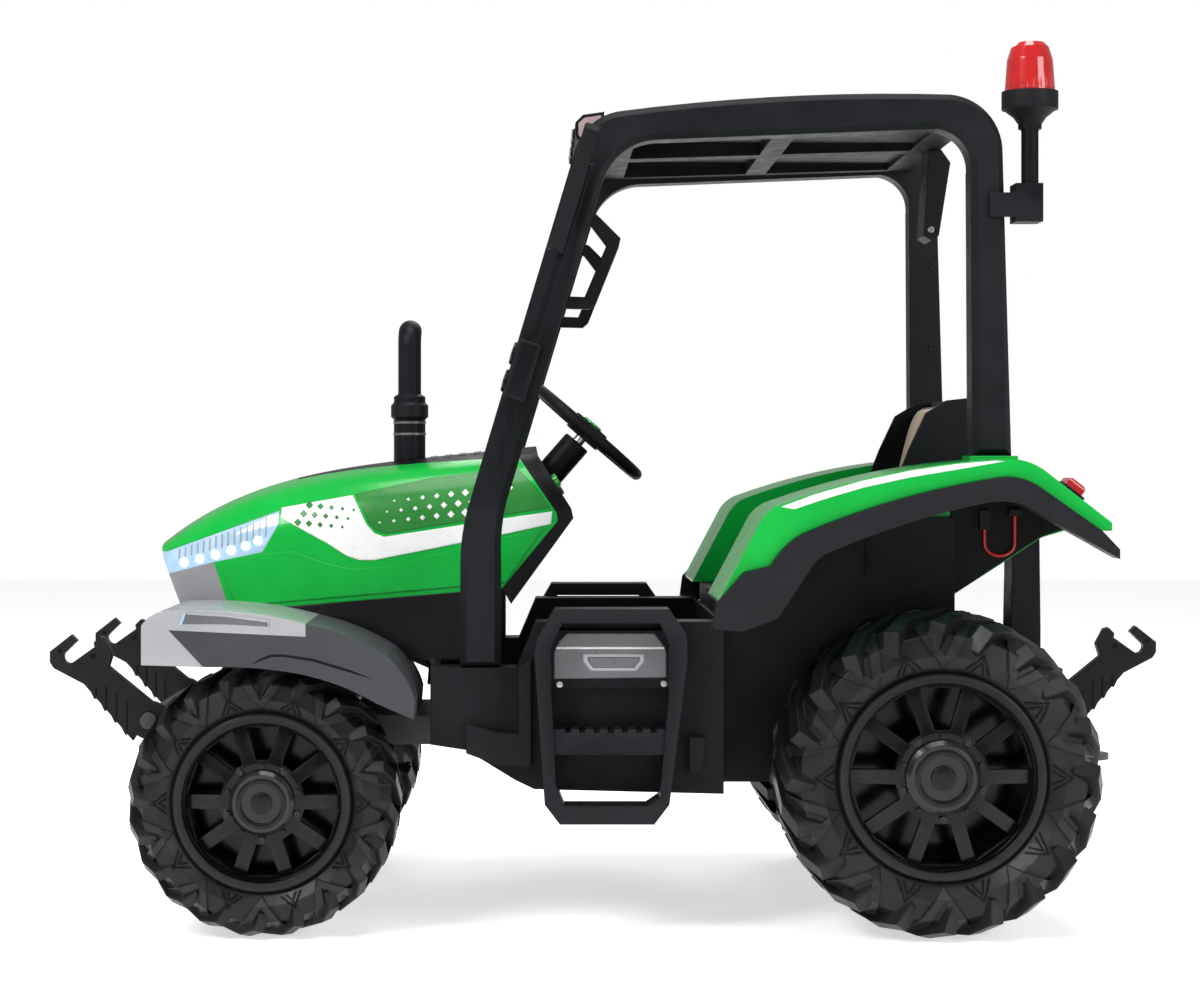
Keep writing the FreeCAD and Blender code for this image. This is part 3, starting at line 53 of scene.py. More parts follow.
EYE = Vector((-0.1112, -3.57, 0.613))
SENSOR_MM = 36

# Materials. Noise scales are in waves to the metre, heights in metres.

EDGE_RADIUS = 0.0028
GRAIN_HEIGHT = 0.0006
FINE_HEIGHT = 0.0005
RAMP_SPAN = (0.32, 0.68)
# Pointiness span and strength of the painted highlight along proud edges
EDGE_HIGHLIGHT_SPAN = (0.52, 0.62)
PLASTIC_EDGE_HIGHLIGHT = 0.45
RUBBER_EDGE_HIGHLIGHT = 0.5
CLOUD_SCALE = 14
SMEAR_SCALE = 42
GLOSS_SPREAD = (0.82, 1.22)
DRAWN_SCALE = (30, 30, 900)
PORE_SCALE = 420.0


def grey(value):
    """A neutral colour."""
    return (value,) * 3


def new_material(name):
    """A material with its node tree and its main shader."""
    material = bpy.data.materials.new(name)
    material.use_nodes = True
    return material, material.node_tree, material.node_tree.nodes["Principled BSDF"]


def add_node(tree, kind, **settings):
    """A new node. Each setting is one of its inputs, or else one of its properties."""
    node = tree.nodes.new(kind)
    for key, value in settings.items():
        if key in node.inputs:
            node.inputs[key].default_value = value
        else:
            setattr(node, key, value)
    return node


def set_inputs(shader, values):
    """Sets what is the same all over a surface."""
    for key, value in values.items():
        shader.inputs[key].default_value = value


def noise(tree, scale, detail=4.0, roughness=0.55):
    """Noise in object space."""
    place = add_node(tree, "ShaderNodeTexCoord")
    node = add_node(tree, "ShaderNodeTexNoise", Scale=scale, Detail=detail, Roughness=roughness)
    tree.links.new(place.outputs["Object"], node.inputs["Vector"])
    return node.outputs["Fac"]


def ramp(tree, source, low, high):
    """Maps a source to the colours between two."""
    node = add_node(tree, "ShaderNodeValToRGB")
    for element, value, position in zip(node.color_ramp.elements, (low, high), RAMP_SPAN):
        element.color = (*value, 1)
        element.position = position
    tree.links.new(source, node.inputs["Fac"])
    return node.outputs["Color"]


def bump(tree, shader, source, strength, height):
    """Surface grain over edges that shade as rounded off."""
    node = add_node(tree, "ShaderNodeBump", Strength=strength, Distance=height)
    edges = add_node(tree, "ShaderNodeBevel", Radius=EDGE_RADIUS, samples=4)
    tree.links.new(edges.outputs["Normal"], node.inputs["Normal"])
    tree.links.new(source, node.inputs["Height"])
    tree.links.new(node.outputs["Normal"], shader.inputs["Normal"])


def edge_highlight(tree, base, highlight_colour, amount):
    """Painted highlight: blends towards a lighter colour along edges that stand proud."""
    geometry = add_node(tree, "ShaderNodeNewGeometry")
    sharp = add_node(tree, "ShaderNodeValToRGB")
    for element, position in zip(sharp.color_ramp.elements, EDGE_HIGHLIGHT_SPAN):
        element.position = position
    sharp.color_ramp.elements[1].color = (*grey(amount), 1)
    mix = add_node(tree, "ShaderNodeMix", data_type="RGBA")
    tree.links.new(geometry.outputs["Pointiness"], sharp.inputs["Fac"])
    tree.links.new(sharp.outputs["Color"], mix.inputs["Factor"])
    tree.links.new(base, mix.inputs["A"])
    mix.inputs["B"].default_value = (*highlight_colour, 1)
    return mix.outputs["Result"]


def plastic(name, low, high, rough, grain, depth, coat=0.0, metal=0.0, highlight_colour=None, shine=0.5):
    """Moulded plastic: cloudy colour, uneven gloss and a surface grain."""
    material, tree, shader = new_material(name)
    colour = ramp(tree, noise(tree, CLOUD_SCALE), low, high)
    # Painted highlight along proud edges, where a highlight colour is given
    if highlight_colour is not None:
        colour = edge_highlight(tree, colour, highlight_colour, PLASTIC_EDGE_HIGHLIGHT)
    tree.links.new(colour, shader.inputs["Base Color"])
    smooth, dull = (grey(rough * share) for share in GLOSS_SPREAD)
    gloss = ramp(tree, noise(tree, SMEAR_SCALE, detail=6), smooth, dull)
    tree.links.new(gloss, shader.inputs["Roughness"])
    bump(tree, shader, noise(tree, grain, detail=3), depth, GRAIN_HEIGHT)
    set_inputs(shader, {"Coat Weight": coat, "Coat Roughness": 0.06, "Metallic": metal,
                        "Specular IOR Level": shine})
    return material


def lens(name, low, high, rough, through, glow=None, power=0.0):
    """Tinted clear plastic with faint moulding ripples, lit from inside where it glows."""
    material, tree, shader = new_material(name)
    tree.links.new(ramp(tree, noise(tree, scale=30), low, high), shader.inputs["Base Color"])
    set_inputs(shader, {"Roughness": rough, "Transmission Weight": through, "IOR": 1.49,
                        "Coat Weight": 0.6, "Coat Roughness": 0.04})
    if glow is not None:
        set_inputs(shader, {"Emission Color": (*glow, 1), "Emission Strength": power})
    bump(tree, shader, noise(tree, scale=160, detail=2), strength=0.12, height=FINE_HEIGHT)
    return material


def rubber(name, low, high, highlight_colour):
    """Tyre compound: near black with cloudy dust, and a fine mould texture."""
    material, tree, shader = new_material(name)
    dust = ramp(tree, noise(tree, scale=22, detail=8, roughness=0.65), low, high)
    # Painted highlight along the tyre's proud edges
    tree.links.new(edge_highlight(tree, dust, highlight_colour, RUBBER_EDGE_HIGHLIGHT), shader.inputs["Base Color"])
    gloss = ramp(tree, noise(tree, scale=60, detail=5), grey(0.32), grey(0.46))
    tree.links.new(gloss, shader.inputs["Roughness"])
    bump(tree, shader, noise(tree, scale=900, detail=2), strength=0.25, height=FINE_HEIGHT)
    set_inputs(shader, {"Specular IOR Level": 0.26})
    return material


def brushed(name, low, high, rough):
    """Plated steel with drawn marks along its length."""
    material, tree, shader = new_material(name)
    place = add_node(tree, "ShaderNodeTexCoord")
    stretch = add_node(tree, "ShaderNodeMapping", Scale=DRAWN_SCALE)
    marks = add_node(tree, "ShaderNodeTexNoise", Scale=1.0, Detail=3.0)
    tree.links.new(place.outputs["Object"], stretch.inputs["Vector"])
    tree.links.new(stretch.outputs["Vector"], marks.inputs["Vector"])
    tree.links.new(ramp(tree, marks.outputs["Fac"], low, high), shader.inputs["Base Color"])
    gloss = ramp(tree, marks.outputs["Fac"], grey(rough), grey(rough * 1.5))
    tree.links.new(gloss, shader.inputs["Roughness"])
    set_inputs(shader, {"Metallic": 1.0})
    return material


def leather(name, low, high):
    """Grained leatherette: cell-like pores under a soft sheen."""
    material, tree, shader = new_material(name)
    tree.links.new(ramp(tree, noise(tree, scale=18, detail=6), low, high), shader.inputs["Base Color"])
    gloss = ramp(tree, noise(tree, scale=50, detail=4), grey(0.45), grey(0.6))
    tree.links.new(gloss, shader.inputs["Roughness"])
    place = add_node(tree, "ShaderNodeTexCoord")
    cells = add_node(tree, "ShaderNodeTexVoronoi", Scale=PORE_SCALE, feature="SMOOTH_F1")
    tree.links.new(place.outputs["Object"], cells.inputs["Vector"])
    bump(tree, shader, cells.outputs["Distance"], strength=0.5, height=GRAIN_HEIGHT)
    set_inputs(shader, {"Sheen Weight": 0.15})
    return material


# A material's highlight colour is a painted highlight along its proud edges.
GREEN = plastic("green_plastic", (0.001, 0.330, 0.036), (0.002, 0.375, 0.044),
                rough=0.22, grain=210, depth=0.03, coat=0.16, shine=0.24)
DARK_GREEN = plastic("dark_green_film", (0.020, 0.170, 0.030), (0.028, 0.205, 0.038),
                     rough=0.28, grain=210, depth=0.04, coat=0.12, shine=0.2)
CHARCOAL = plastic("charcoal_plastic", (0.003, 0.0032, 0.0043), (0.006, 0.0064, 0.0082),
                   rough=0.44, grain=1500, depth=0.30, highlight_colour=(0.020, 0.020, 0.023), shine=0.09)
FENDER_GREY = plastic("fender_grey_plastic", (0.028, 0.029, 0.035), (0.036, 0.037, 0.044),
                      rough=0.48, grain=1500, depth=0.30, highlight_colour=(0.06, 0.06, 0.066), shine=0.2)
GREY_BLACK = plastic("grey_black_plastic", (0.004, 0.0043, 0.0058), (0.008, 0.0085, 0.0108),
                     rough=0.40, grain=1500, depth=0.25, highlight_colour=(0.024, 0.024, 0.027), shine=0.1)
BLACK_GLOSS = plastic("black_gloss_plastic", (0.002, 0.0021, 0.003), (0.004, 0.0042, 0.0055),
                      rough=0.12, grain=240, depth=0.03, coat=0.2, shine=0.3)
PANEL_BLACK = plastic("black_panel_plastic", (0.002, 0.0021, 0.003), (0.004, 0.0042, 0.0055),
                      rough=0.34, grain=600, depth=0.10, shine=0.12)
RIM_BLACK = plastic("rim_plastic", (0.002, 0.002, 0.0025), (0.004, 0.004, 0.0045),
                    rough=0.16, grain=260, depth=0.05, coat=0.06, highlight_colour=(0.03, 0.03, 0.032), shine=0.17)
CAP_GREY = plastic("cap_plastic", (0.005, 0.005, 0.006), (0.009, 0.009, 0.0105),
                   rough=0.22, grain=400, depth=0.06, coat=0.12, highlight_colour=(0.04, 0.04, 0.042), shine=0.3)
SILVER = plastic("silver_paint", (0.31, 0.315, 0.33), (0.35, 0.355, 0.37),
                 rough=0.34, grain=5200, depth=0.02, coat=0.25, metal=0.35)
GRILLE_SILVER = plastic("grille_silver_paint", (0.225, 0.23, 0.242), (0.255, 0.26, 0.272),
                        rough=0.34, grain=5200, depth=0.02, coat=0.25, metal=0.35)
DARK_SILVER = plastic("dark_silver_paint", (0.10, 0.103, 0.110), (0.13, 0.134, 0.142),
                      rough=0.3, grain=5200, depth=0.02, coat=0.25, metal=0.4)
WHITE = plastic("white_film", (0.74, 0.75, 0.74), (0.80, 0.81, 0.80),
                rough=0.28, grain=500, depth=0.03, coat=0.3)
MIRROR = plastic("mirror_glass", (0.70, 0.71, 0.72), (0.76, 0.77, 0.78),
                 rough=0.05, grain=300, depth=0.01, metal=1.0)
FRAME_PAINT = plastic("frame_paint", (0.006, 0.006, 0.0065), (0.012, 0.012, 0.013),
                      rough=0.4, grain=700, depth=0.3, highlight_colour=(0.10, 0.098, 0.095), shine=0.4)
BUTTON_GREEN = plastic("button_plastic", (0.01, 0.40, 0.03), (0.015, 0.46, 0.04),
                       rough=0.25, grain=300, depth=0.03, coat=0.4)
WIRE_RED = plastic("wire_sleeve", (0.45, 0.012, 0.012), (0.55, 0.02, 0.018), rough=0.4, grain=600, depth=0.1)
TYRE = rubber("tyre_rubber", (0.003, 0.003, 0.004), (0.008, 0.008, 0.0098), highlight_colour=(0.032, 0.032, 0.034))
STEEL = brushed("plated_steel", (0.42, 0.42, 0.43), (0.58, 0.58, 0.59), rough=0.26)
CLEAR = lens("clear_lens", (0.30, 0.46, 0.60), (0.44, 0.58, 0.70),
             rough=0.07, through=0.25, glow=(0.45, 0.72, 1.0), power=0.16)
LED = lens("lamp_diode", (0.86, 0.94, 1.0), (0.95, 0.98, 1.0),
           rough=0.1, through=0.2, glow=(0.80, 0.92, 1.0), power=3.2)
ROOF_LENS = lens("roof_lens", (0.42, 0.31, 0.31), (0.50, 0.38, 0.38), rough=0.14, through=0.25)
RED_LENS = lens("red_lens", (0.50, 0.006, 0.008), (0.62, 0.012, 0.012), rough=0.1, through=0.3)
BEIGE = leather("beige_leatherette", (0.44, 0.33, 0.21), (0.52, 0.40, 0.26))
PIPING = leather("dark_piping", (0.012, 0.012, 0.013), (0.022, 0.021, 0.021))

FINISHES = (
    (GREEN, ("hood_shell", "rear_fenders")),
    (BLACK_GLOSS, ("engine_cover",)),
    (PANEL_BLACK, ("hood_top_panel",)),
    (SILVER, ("fender_nose_caps",)),
    (GRILLE_SILVER, ("nose_grille",)),
    (CLEAR, ("headlamps",)),
    (RED_LENS, ("beacon_lens", "tail_lamps")),
    (BEIGE, ("seat_pads",)),
    (BUTTON_GREEN, ("horn_button", "start_button")),
    (WIRE_RED, ("battery_lead",)),
    (STEEL, ("rear_axle", "steering_shaft", "tie_rod", "steering_knuckle_left", "steering_knuckle_right")),
    (FENDER_GREY, ("front_fenders",)),
    (FRAME_PAINT, ("front_subframe", "front_axle_beam", "tow_bar")),
    (GREY_BLACK, ("cab_frames", "step_frames", "front_hook_arm_left", "front_hook_arm_right", "rear_hook_arm",
                  "rear_deck", "arch_trims", "exhaust_stack")),
)
WHEEL_FINISHES = (("_tyre_", TYRE), ("_rim_", RIM_BLACK), ("_hub_cap_", CAP_GREY))


def finish_nodes():
    """Gives every carried-over CAD node its material, which is charcoal where none is named."""
    chosen = {name: material for material, names in FINISHES for name in names}
    for name, item in NODES.items():
        material = chosen.get(name, CHARCOAL)
        for word, wheel_material in WHEEL_FINISHES:
            if word in name:
                material = wheel_material
        item.data.materials.clear()
        item.data.materials.append(material)


# Mesh helpers. Outlines, profiles and places are given in millimetres.

MM = 0.001
SIDES = ((-1, "left"), (1, "right"))
SHARP_DEGREES = 38
SPLIT_ROUNDS = 6


def at(x, y, z, axis="Z", degrees=0.0):
    """A place, turned about one of its axes."""
    return Matrix.Translation(Vector((x, y, z)) * MM) @ Matrix.Rotation(math.radians(degrees), 4, axis)


def mirrored(place, side):
    """The same place on the left (-1) or, reflected in the middle plane, on the right (+1)."""
    return place if side < 0 else Matrix.Scale(-1, 4, (0, 1, 0)) @ place


def new_object(name, build, material):
    """Turns a bmesh into a smooth-shaded object with crisp edges."""
    bmesh.ops.recalc_face_normals(build, faces=build.faces)
    mesh = bpy.data.meshes.new(name)
    build.to_mesh(mesh)
    build.free()
    mesh.shade_smooth()
    mesh.set_sharp_from_angle(angle=math.radians(SHARP_DEGREES))
    mesh.materials.append(material)
    item = bpy.data.objects.new(name, mesh)
    bpy.context.scene.collection.objects.link(item)
    return item


def fit(item, body):
    """Hangs a finished piece on a CAD body."""
    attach(item, body)
    return item


def add_turned(build, profile, place, segments=32):
    """Adds a turned form: (radius, height) corners swept about the place's own Z."""
    rings = []
    for radius, height in profile:
        count = segments if radius > 0 else 1
        ring = []
        for step in range(count):
            angle = math.tau * step / segments
            spot = Vector((radius * math.cos(angle), radius * math.sin(angle), height)) * MM
            ring.append(build.verts.new(place @ spot))
        rings.append(ring)
    for low, high in zip(rings, rings[1:]):
        for step in range(segments):
            after = (step + 1) % segments
            if len(low) == 1:
                build.faces.new((low[0], high[step], high[after]))
            elif len(high) == 1:
                build.faces.new((low[step], low[after], high[0]))
            else:
                build.faces.new((low[step], low[after], high[after], high[step]))


def bridge(build, rings):
    """Joins rings of as many corners with faces, each to the next."""
    for lower, upper in zip(rings, rings[1:]):
        count = len(lower)
        for step in range(count):
            after = (step + 1) % count
            build.faces.new((lower[step], lower[after], upper[after], upper[step]))


def add_prism(build, corners, low, high, place, draft):
    """Adds an upright prism over an outline, its top edge drawn in by a draft."""
    middle = Vector((sum(x for x, y in corners), sum(y for x, y in corners))) / len(corners)
    rings = []
    for height, inset in ((low, 0.0), (high - draft, 0.0), (high, draft)):
        ring = []
        for corner in corners:
            away = Vector(corner) - middle
            spot = middle + away * (1 - inset / away.length)
            ring.append(build.verts.new(place @ (Vector((spot.x, spot.y, height)) * MM)))
        rings.append(ring)
    bridge(build, rings)
    build.faces.new(rings[0])
    build.faces.new(rings[-1])


def add_frame(build, outer, inner, low, high, place):
    """Adds a flat frame between two outlines with as many corners."""
    rings = []
    for outline, height in ((outer, low), (outer, high), (inner, high), (inner, low)):
        rings.append([build.verts.new(place @ (Vector((x, y, height)) * MM)) for x, y in outline])
    bridge(build, rings + rings[:1])


def rectangle(left, right, low, high):
    """Corners of an upright rectangle."""
    return (left, low), (right, low), (right, high), (left, high)


def cut_rectangle(left, right, low, high, cut):
    """Corners of a rectangle with its own corners cut off."""
    return ((left + cut, low), (right - cut, low), (right, low + cut), (right, high - cut),
            (right - cut, high), (left + cut, high), (left, high - cut), (left, low + cut))


def rounded(width, height, radius, steps=4):
    """Corners of a rounded rectangle about the origin."""
    corners = []
    for turn, (sx, sy) in enumerate(((1, 1), (-1, 1), (-1, -1), (1, -1))):
        for step in range(steps + 1):
            angle = math.radians(90 * (turn + step / steps))
            corners.append((sx * (width / 2 - radius) + radius * math.cos(angle),
                            sy * (height / 2 - radius) + radius * math.sin(angle)))
    return corners


def slots(near, far, levels, tall):
    """Pairs of level slots, either side of the middle."""
    outlines = []
    for low in levels:
        for side, _ in SIDES:
            left, right = sorted((side * near, side * far))
            outlines.append(rectangle(left, right, low, low + tall))
    return outlines


def skin(nodes):
    """Search tree over the faces of some CAD nodes."""
    points = []
    faces = []
    for name in nodes:
        mesh = NODES[name].data
        first = len(points)
        points.extend(vert.co.copy() for vert in mesh.vertices)
        faces.extend([first + index for index in face.vertices] for face in mesh.polygons)
    return BVHTree.FromPolygons(points, faces)


def meet(tree, x, z, side):
    """Where a level line from outside the left (-1) or right (+1) side meets a skin, and the normal there."""
    spot, normal, _, _ = tree.ray_cast(Vector((x * MM, side, z * MM)), Vector((0, -side, 0)))
    return spot, normal


def facing_out(spot, side):
    """A place at a spot, with its own Z pointing out of one side."""
    return Matrix.Translation(spot) @ Vector((0, side, 0)).to_track_quat("Z", "X").to_matrix().to_4x4()


def refine(build, longest):
    """Splits faces until no edge is longer than a limit, in so many rounds at most."""
    bmesh.ops.triangulate(build, faces=build.faces[:])
    for _ in range(SPLIT_ROUNDS):
        edges = [edge for edge in build.edges if edge.calc_length() > longest]
        if not edges:
            return
        bmesh.ops.subdivide_edges(build, edges=edges, cuts=1)
        bmesh.ops.triangulate(build, faces=build.faces[:])


def film(name, outlines, nodes, material, slot, body="chassis", along=(0, 1, 0), start=-1.0, lift=0.4,
         thick=0.8, step=12):
    """A thin skin with flat outlines, laid along an axis onto the first face of the nodes that it meets.

    Outlines are (y, z), (x, z) or (x, y), as seen along X, Y or Z. Rays start at a distance, in metres, from
    the plane through the origin. The skin stands proud by its lift, goes in by its thickness, and is split
    into edges of about its step, all in millimetres.
    """
    tree = skin(nodes)
    along = Vector(along)
    build = bmesh.new()
    for outline in outlines:
        corners = []
        for u, v in outline:
            flat = (u, v, 0) if along.z else (u, 0, v) if along.y else (0, u, v)
            corners.append(build.verts.new(Vector(flat) * MM))
        build.faces.new(corners)
    build.normal_update()
    refine(build, step * MM)
    missed = []
    for vert in build.verts:
        spot, normal, _, _ = tree.ray_cast(vert.co + along * start, along)
        if spot is None:
            missed.append(vert)
            continue
        if normal.dot(along) > 0:
            normal.negate()
        vert.co = spot + normal * lift * MM
    bmesh.ops.delete(build, geom=missed, context="VERTS")
    bmesh.ops.recalc_face_normals(build, faces=build.faces)
    facing = sum((face.normal * face.calc_area() for face in build.faces), Vector())
    if facing.dot(along) > 0:
        bmesh.ops.reverse_faces(build, faces=build.faces)
    sheet = bmesh.ops.extrude_face_region(build, geom=build.faces[:], use_keep_orig=True)
    under = [part for part in sheet["geom"] if isinstance(part, bmesh.types.BMVert)]
    bmesh.ops.translate(build, vec=along * thick * MM, verts=under)
    return fit(new_object(name, build, material), body)


def side_films(name, outlines, nodes, material, slot, **options):
    """The same film on the left and the right side."""
    for side, word in SIDES:
        film(f"{name}_{word}", outlines, nodes, material, slot, along=(0, -side, 0), **options)


def new_curve(name, kind, points, radius, resolution, material):
    """A round curve of one spline along points in metres; the object and its spline."""
    data = bpy.data.curves.new(name, "CURVE")
    data.dimensions = "3D"
    data.bevel_depth = radius * MM
    data.bevel_resolution = resolution
    spline = data.splines.new(kind)
    spline.points.add(len(points) - 1)
    for target, spot in zip(spline.points, points):
        target.co = (*spot, 1)
    data.materials.append(material)
    item = bpy.data.objects.new(name, data)
    bpy.context.scene.collection.objects.link(item)
    return item, spline


# Stage and camera, in metres

FLOOR_HALF = 9
FLOOR_GLOW = 0.6
WORLD_STRENGTH = 0.34
PURE_WHITE = (1, 1, 1, 1)
AIM = Vector((0, 0, 0.5))
# Name, place, size and power
LIGHTS = (
    ("key", (-2.4, -2.8, 3.2), 1.6, 130),
    ("fill", (2.8, -2.6, 2.0), 1.8, 55),
    ("top", (0, -0.6, 4.4), 2.4, 120),
    ("back", (0.5, 3.4, 3.4), 2.4, 45),
)


def make_floor():
    """Pale floor."""
    build = bmesh.new()
    bmesh.ops.create_grid(build, x_segments=8, y_segments=8, size=FLOOR_HALF)
    material, tree, shader = new_material("floor_paint")
    tree.links.new(ramp(tree, noise(tree, scale=3), grey(0.86), grey(0.9)), shader.inputs["Base Color"])
    set_inputs(shader, {"Roughness": 0.7, "Emission Color": PURE_WHITE, "Emission Strength": FLOOR_GLOW})
    new_object("floor", build, material)


def make_world():
    """White surroundings, brighter where the camera sees them than as a light."""
    world = bpy.data.worlds.new("studio")
    bpy.context.scene.world = world
    world.use_nodes = True
    tree = world.node_tree
    sky = tree.nodes["Background"]
    set_inputs(sky, {"Color": PURE_WHITE, "Strength": WORLD_STRENGTH})
    paper = add_node(tree, "ShaderNodeBackground", Color=PURE_WHITE, Strength=1.0)
    path = add_node(tree, "ShaderNodeLightPath")
    mix = add_node(tree, "ShaderNodeMixShader")
    tree.links.new(path.outputs["Is Camera Ray"], mix.inputs["Fac"])
    tree.links.new(sky.outputs["Background"], mix.inputs[1])
    tree.links.new(paper.outputs["Background"], mix.inputs[2])
    tree.links.new(mix.outputs["Shader"], tree.nodes["World Output"].inputs["Surface"])


def make_lights():
    """Soft lights aimed at the middle of the object."""
    for name, spot, size, power in LIGHTS:
        light = bpy.data.lights.new(name, "AREA")
        light.energy = power
        light.size = size
        lamp = bpy.data.objects.new(name, light)
        lamp.location = spot
        lamp.rotation_euler = (AIM - lamp.location).to_track_quat("-Z", "Y").to_euler()
        bpy.context.scene.collection.objects.link(lamp)
    bpy.context.scene.view_settings.view_transform = "Standard"


def make_camera():
    """Looks straight along +Y from the photograph's eye point, with the picture's centre set by shift."""
    data = bpy.data.cameras.new("camera")
    data.sensor_width = SENSOR_MM
    data.lens = SENSOR_MM * FOCAL_PX / PHOTO[0]
    data.shift_x = (PHOTO[0] / 2 - CENTRE_PX[0]) / PHOTO[0]
    data.shift_y = (CENTRE_PX[1] - PHOTO[1] / 2) / PHOTO[0]
    camera = bpy.data.objects.new("camera", data)
    camera.location = EYE
    camera.rotation_euler = (math.pi / 2, 0, 0)
    bpy.context.scene.collection.objects.link(camera)
    bpy.context.scene.camera = camera


# Hood

HOOD_SKIN = ("hood_shell", "headlamps")
STRIPE = (
    (-451, 542), (-451, 529), (-386, 494), (-363, 479), (-345, 473), (-325, 473), (-150, 508),
    (-90, 521), (-88, 538), (-150, 529), (-312, 504), (-325, 509), (-335, 520), (-355, 559),
)
SHADE_PANEL = (
    (-352, 561), (-333, 522), (-322, 512), (-310, 508), (-150, 533), (-90, 543), (-110, 570), (-135, 596),
    (-250, 582),
)
LOWER_PANEL = (
    (-474, 481), (-437, 485), (-384, 467), (-350, 461), (-305, 465), (-211, 489), (-150, 504), (-100, 516),
    (-150, 444), (-512, 411), (-532, 464),
)
LOUVRE_FRONTS = range(-256, -176, 20)
LOUVRE_WIDTH = 9
LOUVRE_FRONT_HALF, LOUVRE_REAR_HALF = 52, 55
SLOT_NEAR, SLOT_TALL = 7, 6
GRILLE_HALF, GRILLE_LEVELS = 58, (410, 422, 434)
COVER_HALF, COVER_LEVELS = 62, (352, 364, 376, 388)


def diamonds(count, rows, start, pitch, rise, first, growth):
    """Rows of diamonds that grow, or shrink, towards the rear."""
    outlines = []
    for row in range(rows):
        for step in range(count):
            x = start[0] + (step + row / 2) * pitch
            z = start[1] + row * pitch * 0.75 + step * rise
            half = first + step * growth
            outlines.append(((x - half, z), (x, z - half), (x + half, z), (x, z + half)))
    return outlines


def dress_hood():
    """Raised side panels, stripe and diamonds, and the slots of the top panel, grille and engine cover."""
    side_films("hood_lower_panel", [LOWER_PANEL], HOOD_SKIN, GREEN, "green", lift=1.6, thick=2.2)
    side_films("hood_shade_panel", [SHADE_PANEL], HOOD_SKIN, DARK_GREEN, "green", lift=0.3, thick=0.6)
    side_films("hood_stripe", [STRIPE], HOOD_SKIN, WHITE, "silver", lift=0.7, thick=1.0)
    pale = diamonds(count=9, rows=3, start=(-318, 523), pitch=19, rise=2.2, first=2.0, growth=0.6)
    side_films("hood_pale_diamonds", pale, HOOD_SKIN, WHITE, "silver", lift=0.8)
    dark = diamonds(count=5, rows=3, start=(-428, 523), pitch=15, rise=-1.5, first=5.4, growth=-0.8)
    side_films("hood_dark_diamonds", dark, HOOD_SKIN, DARK_GREEN, "green", lift=1.1)
    louvres = []
    for x in LOUVRE_FRONTS:
        rear = x + LOUVRE_WIDTH
        louvres.append(((x, -LOUVRE_FRONT_HALF), (rear, -LOUVRE_REAR_HALF), (rear, LOUVRE_REAR_HALF),
                        (x, LOUVRE_FRONT_HALF)))
    film("top_panel_louvres", louvres, ("hood_top_panel",), BLACK_GLOSS, "black_gloss", along=(0, 0, -1),
         lift=1.0, thick=1.6)
    grille = slots(SLOT_NEAR, GRILLE_HALF, GRILLE_LEVELS, SLOT_TALL)
    film("grille_slots", grille, ("nose_grille", "headlamps"), BLACK_GLOSS, "black_gloss", along=(1, 0, 0),
         lift=0.5)
    cover = slots(SLOT_NEAR, COVER_HALF, COVER_LEVELS, SLOT_TALL)
    film("cover_slots", cover, ("engine_cover",), CHARCOAL, "charcoal", along=(1, 0, 0), lift=0.5)


# Lamps

FACING_FRONT = Matrix.Rotation(math.radians(-90), 4, "Y")
PILLAR_LEAN = 16.8
DIODES = ((-585, 468), (-563, 473), (-541, 479), (-519, 485), (-499, 491), (-482, 498))
DIODE = ((6, -1.5), (6, 0.6), (5.2, 2.2), (3.2, 3.4), (0, 3.9))
# The first flute's place and ends, and each one's step from the last
FLUTES = 15
FLUTE_X, FLUTE_PITCH, FLUTE_HALF = -592, 8.6, 1
FLUTE_LOW, FLUTE_LOW_RISE = 474, 2.1
FLUTE_HIGH, FLUTE_HIGH_RISE = 485, 3.05
WORK_LAMP = at(-128, -300, 720, "Y", PILLAR_LEAN)
WORK_LENSES = ((-17, -22, -18), (-17, -22, 18))
WORK_LENS = ((12, -1), (12, 0.4), (9, 1.8), (5, 2.6), (0, 2.9))
WORK_BEZEL = ((12, -0.5), (12, 1.4), (13, 2), (14.4, 1.2), (14.4, -0.5))
ROOF_X, ROOF_Z, ROOF_LENSES = -61, 1042, (-140, -60, 60, 140)
SMALL_LENS = ((6.4, -0.6), (6.4, 0.3), (4.6, 1.2), (2.4, 1.7), (0, 1.9))
SMALL_BEZEL = ((6.4, -0.5), (6.4, 0.8), (7, 1.1), (7.8, 0.6), (7.8, -0.5))
ROOF_END = ((-24, 1028), (-24, 1060), (-46, 1057), (-54, 1050), (-54, 1034), (-47, 1027))
TAIL_LAMP = at(571, -275, 560, "Y", 37.9)
TAIL_OUTER, TAIL_INNER = rounded(36, 52, 4), rounded(27, 41, 2)
TAIL_LOW, TAIL_HIGH = -0.5, 10.5
BEACON_X, BEACON_Y, BULB_Z = 524, -284, 1079
FUNNEL = ((11.5, 1029), (14, 1036), (21, 1046), (31, 1054), (35.6, 1057), (33, 1058.5), (11.5, 1042))
BULB = ((20, 2), (20, 5), (15, 7), (6, 9), (6, 20), (10, 24), (10, 38), (6, 44), (0, 46))


def dress_headlamps():
    """A row of diodes in each lens, with flutes above them."""
    tree = skin(("headlamps",))
    for side, word in SIDES:
        build = bmesh.new()
        for x, z in DIODES:
            spot, normal = meet(tree, x, z, side)
            turn = normal.to_track_quat("Z", "Y").to_matrix().to_4x4()
            add_turned(build, DIODE, Matrix.Translation(spot) @ turn, segments=20)
        fit(new_object(f"headlamp_diodes_{word}", build, LED), "chassis")
    flutes = []
    for step in range(FLUTES):
        x = FLUTE_X + step * FLUTE_PITCH
        low, high = FLUTE_LOW + step * FLUTE_LOW_RISE, FLUTE_HIGH + step * FLUTE_HIGH_RISE
        flutes.append(rectangle(x - FLUTE_HALF, x + FLUTE_HALF, low, high))
    side_films("headlamp_flutes", flutes, ("headlamps",), SILVER, "silver", lift=0.8, thick=1.2)


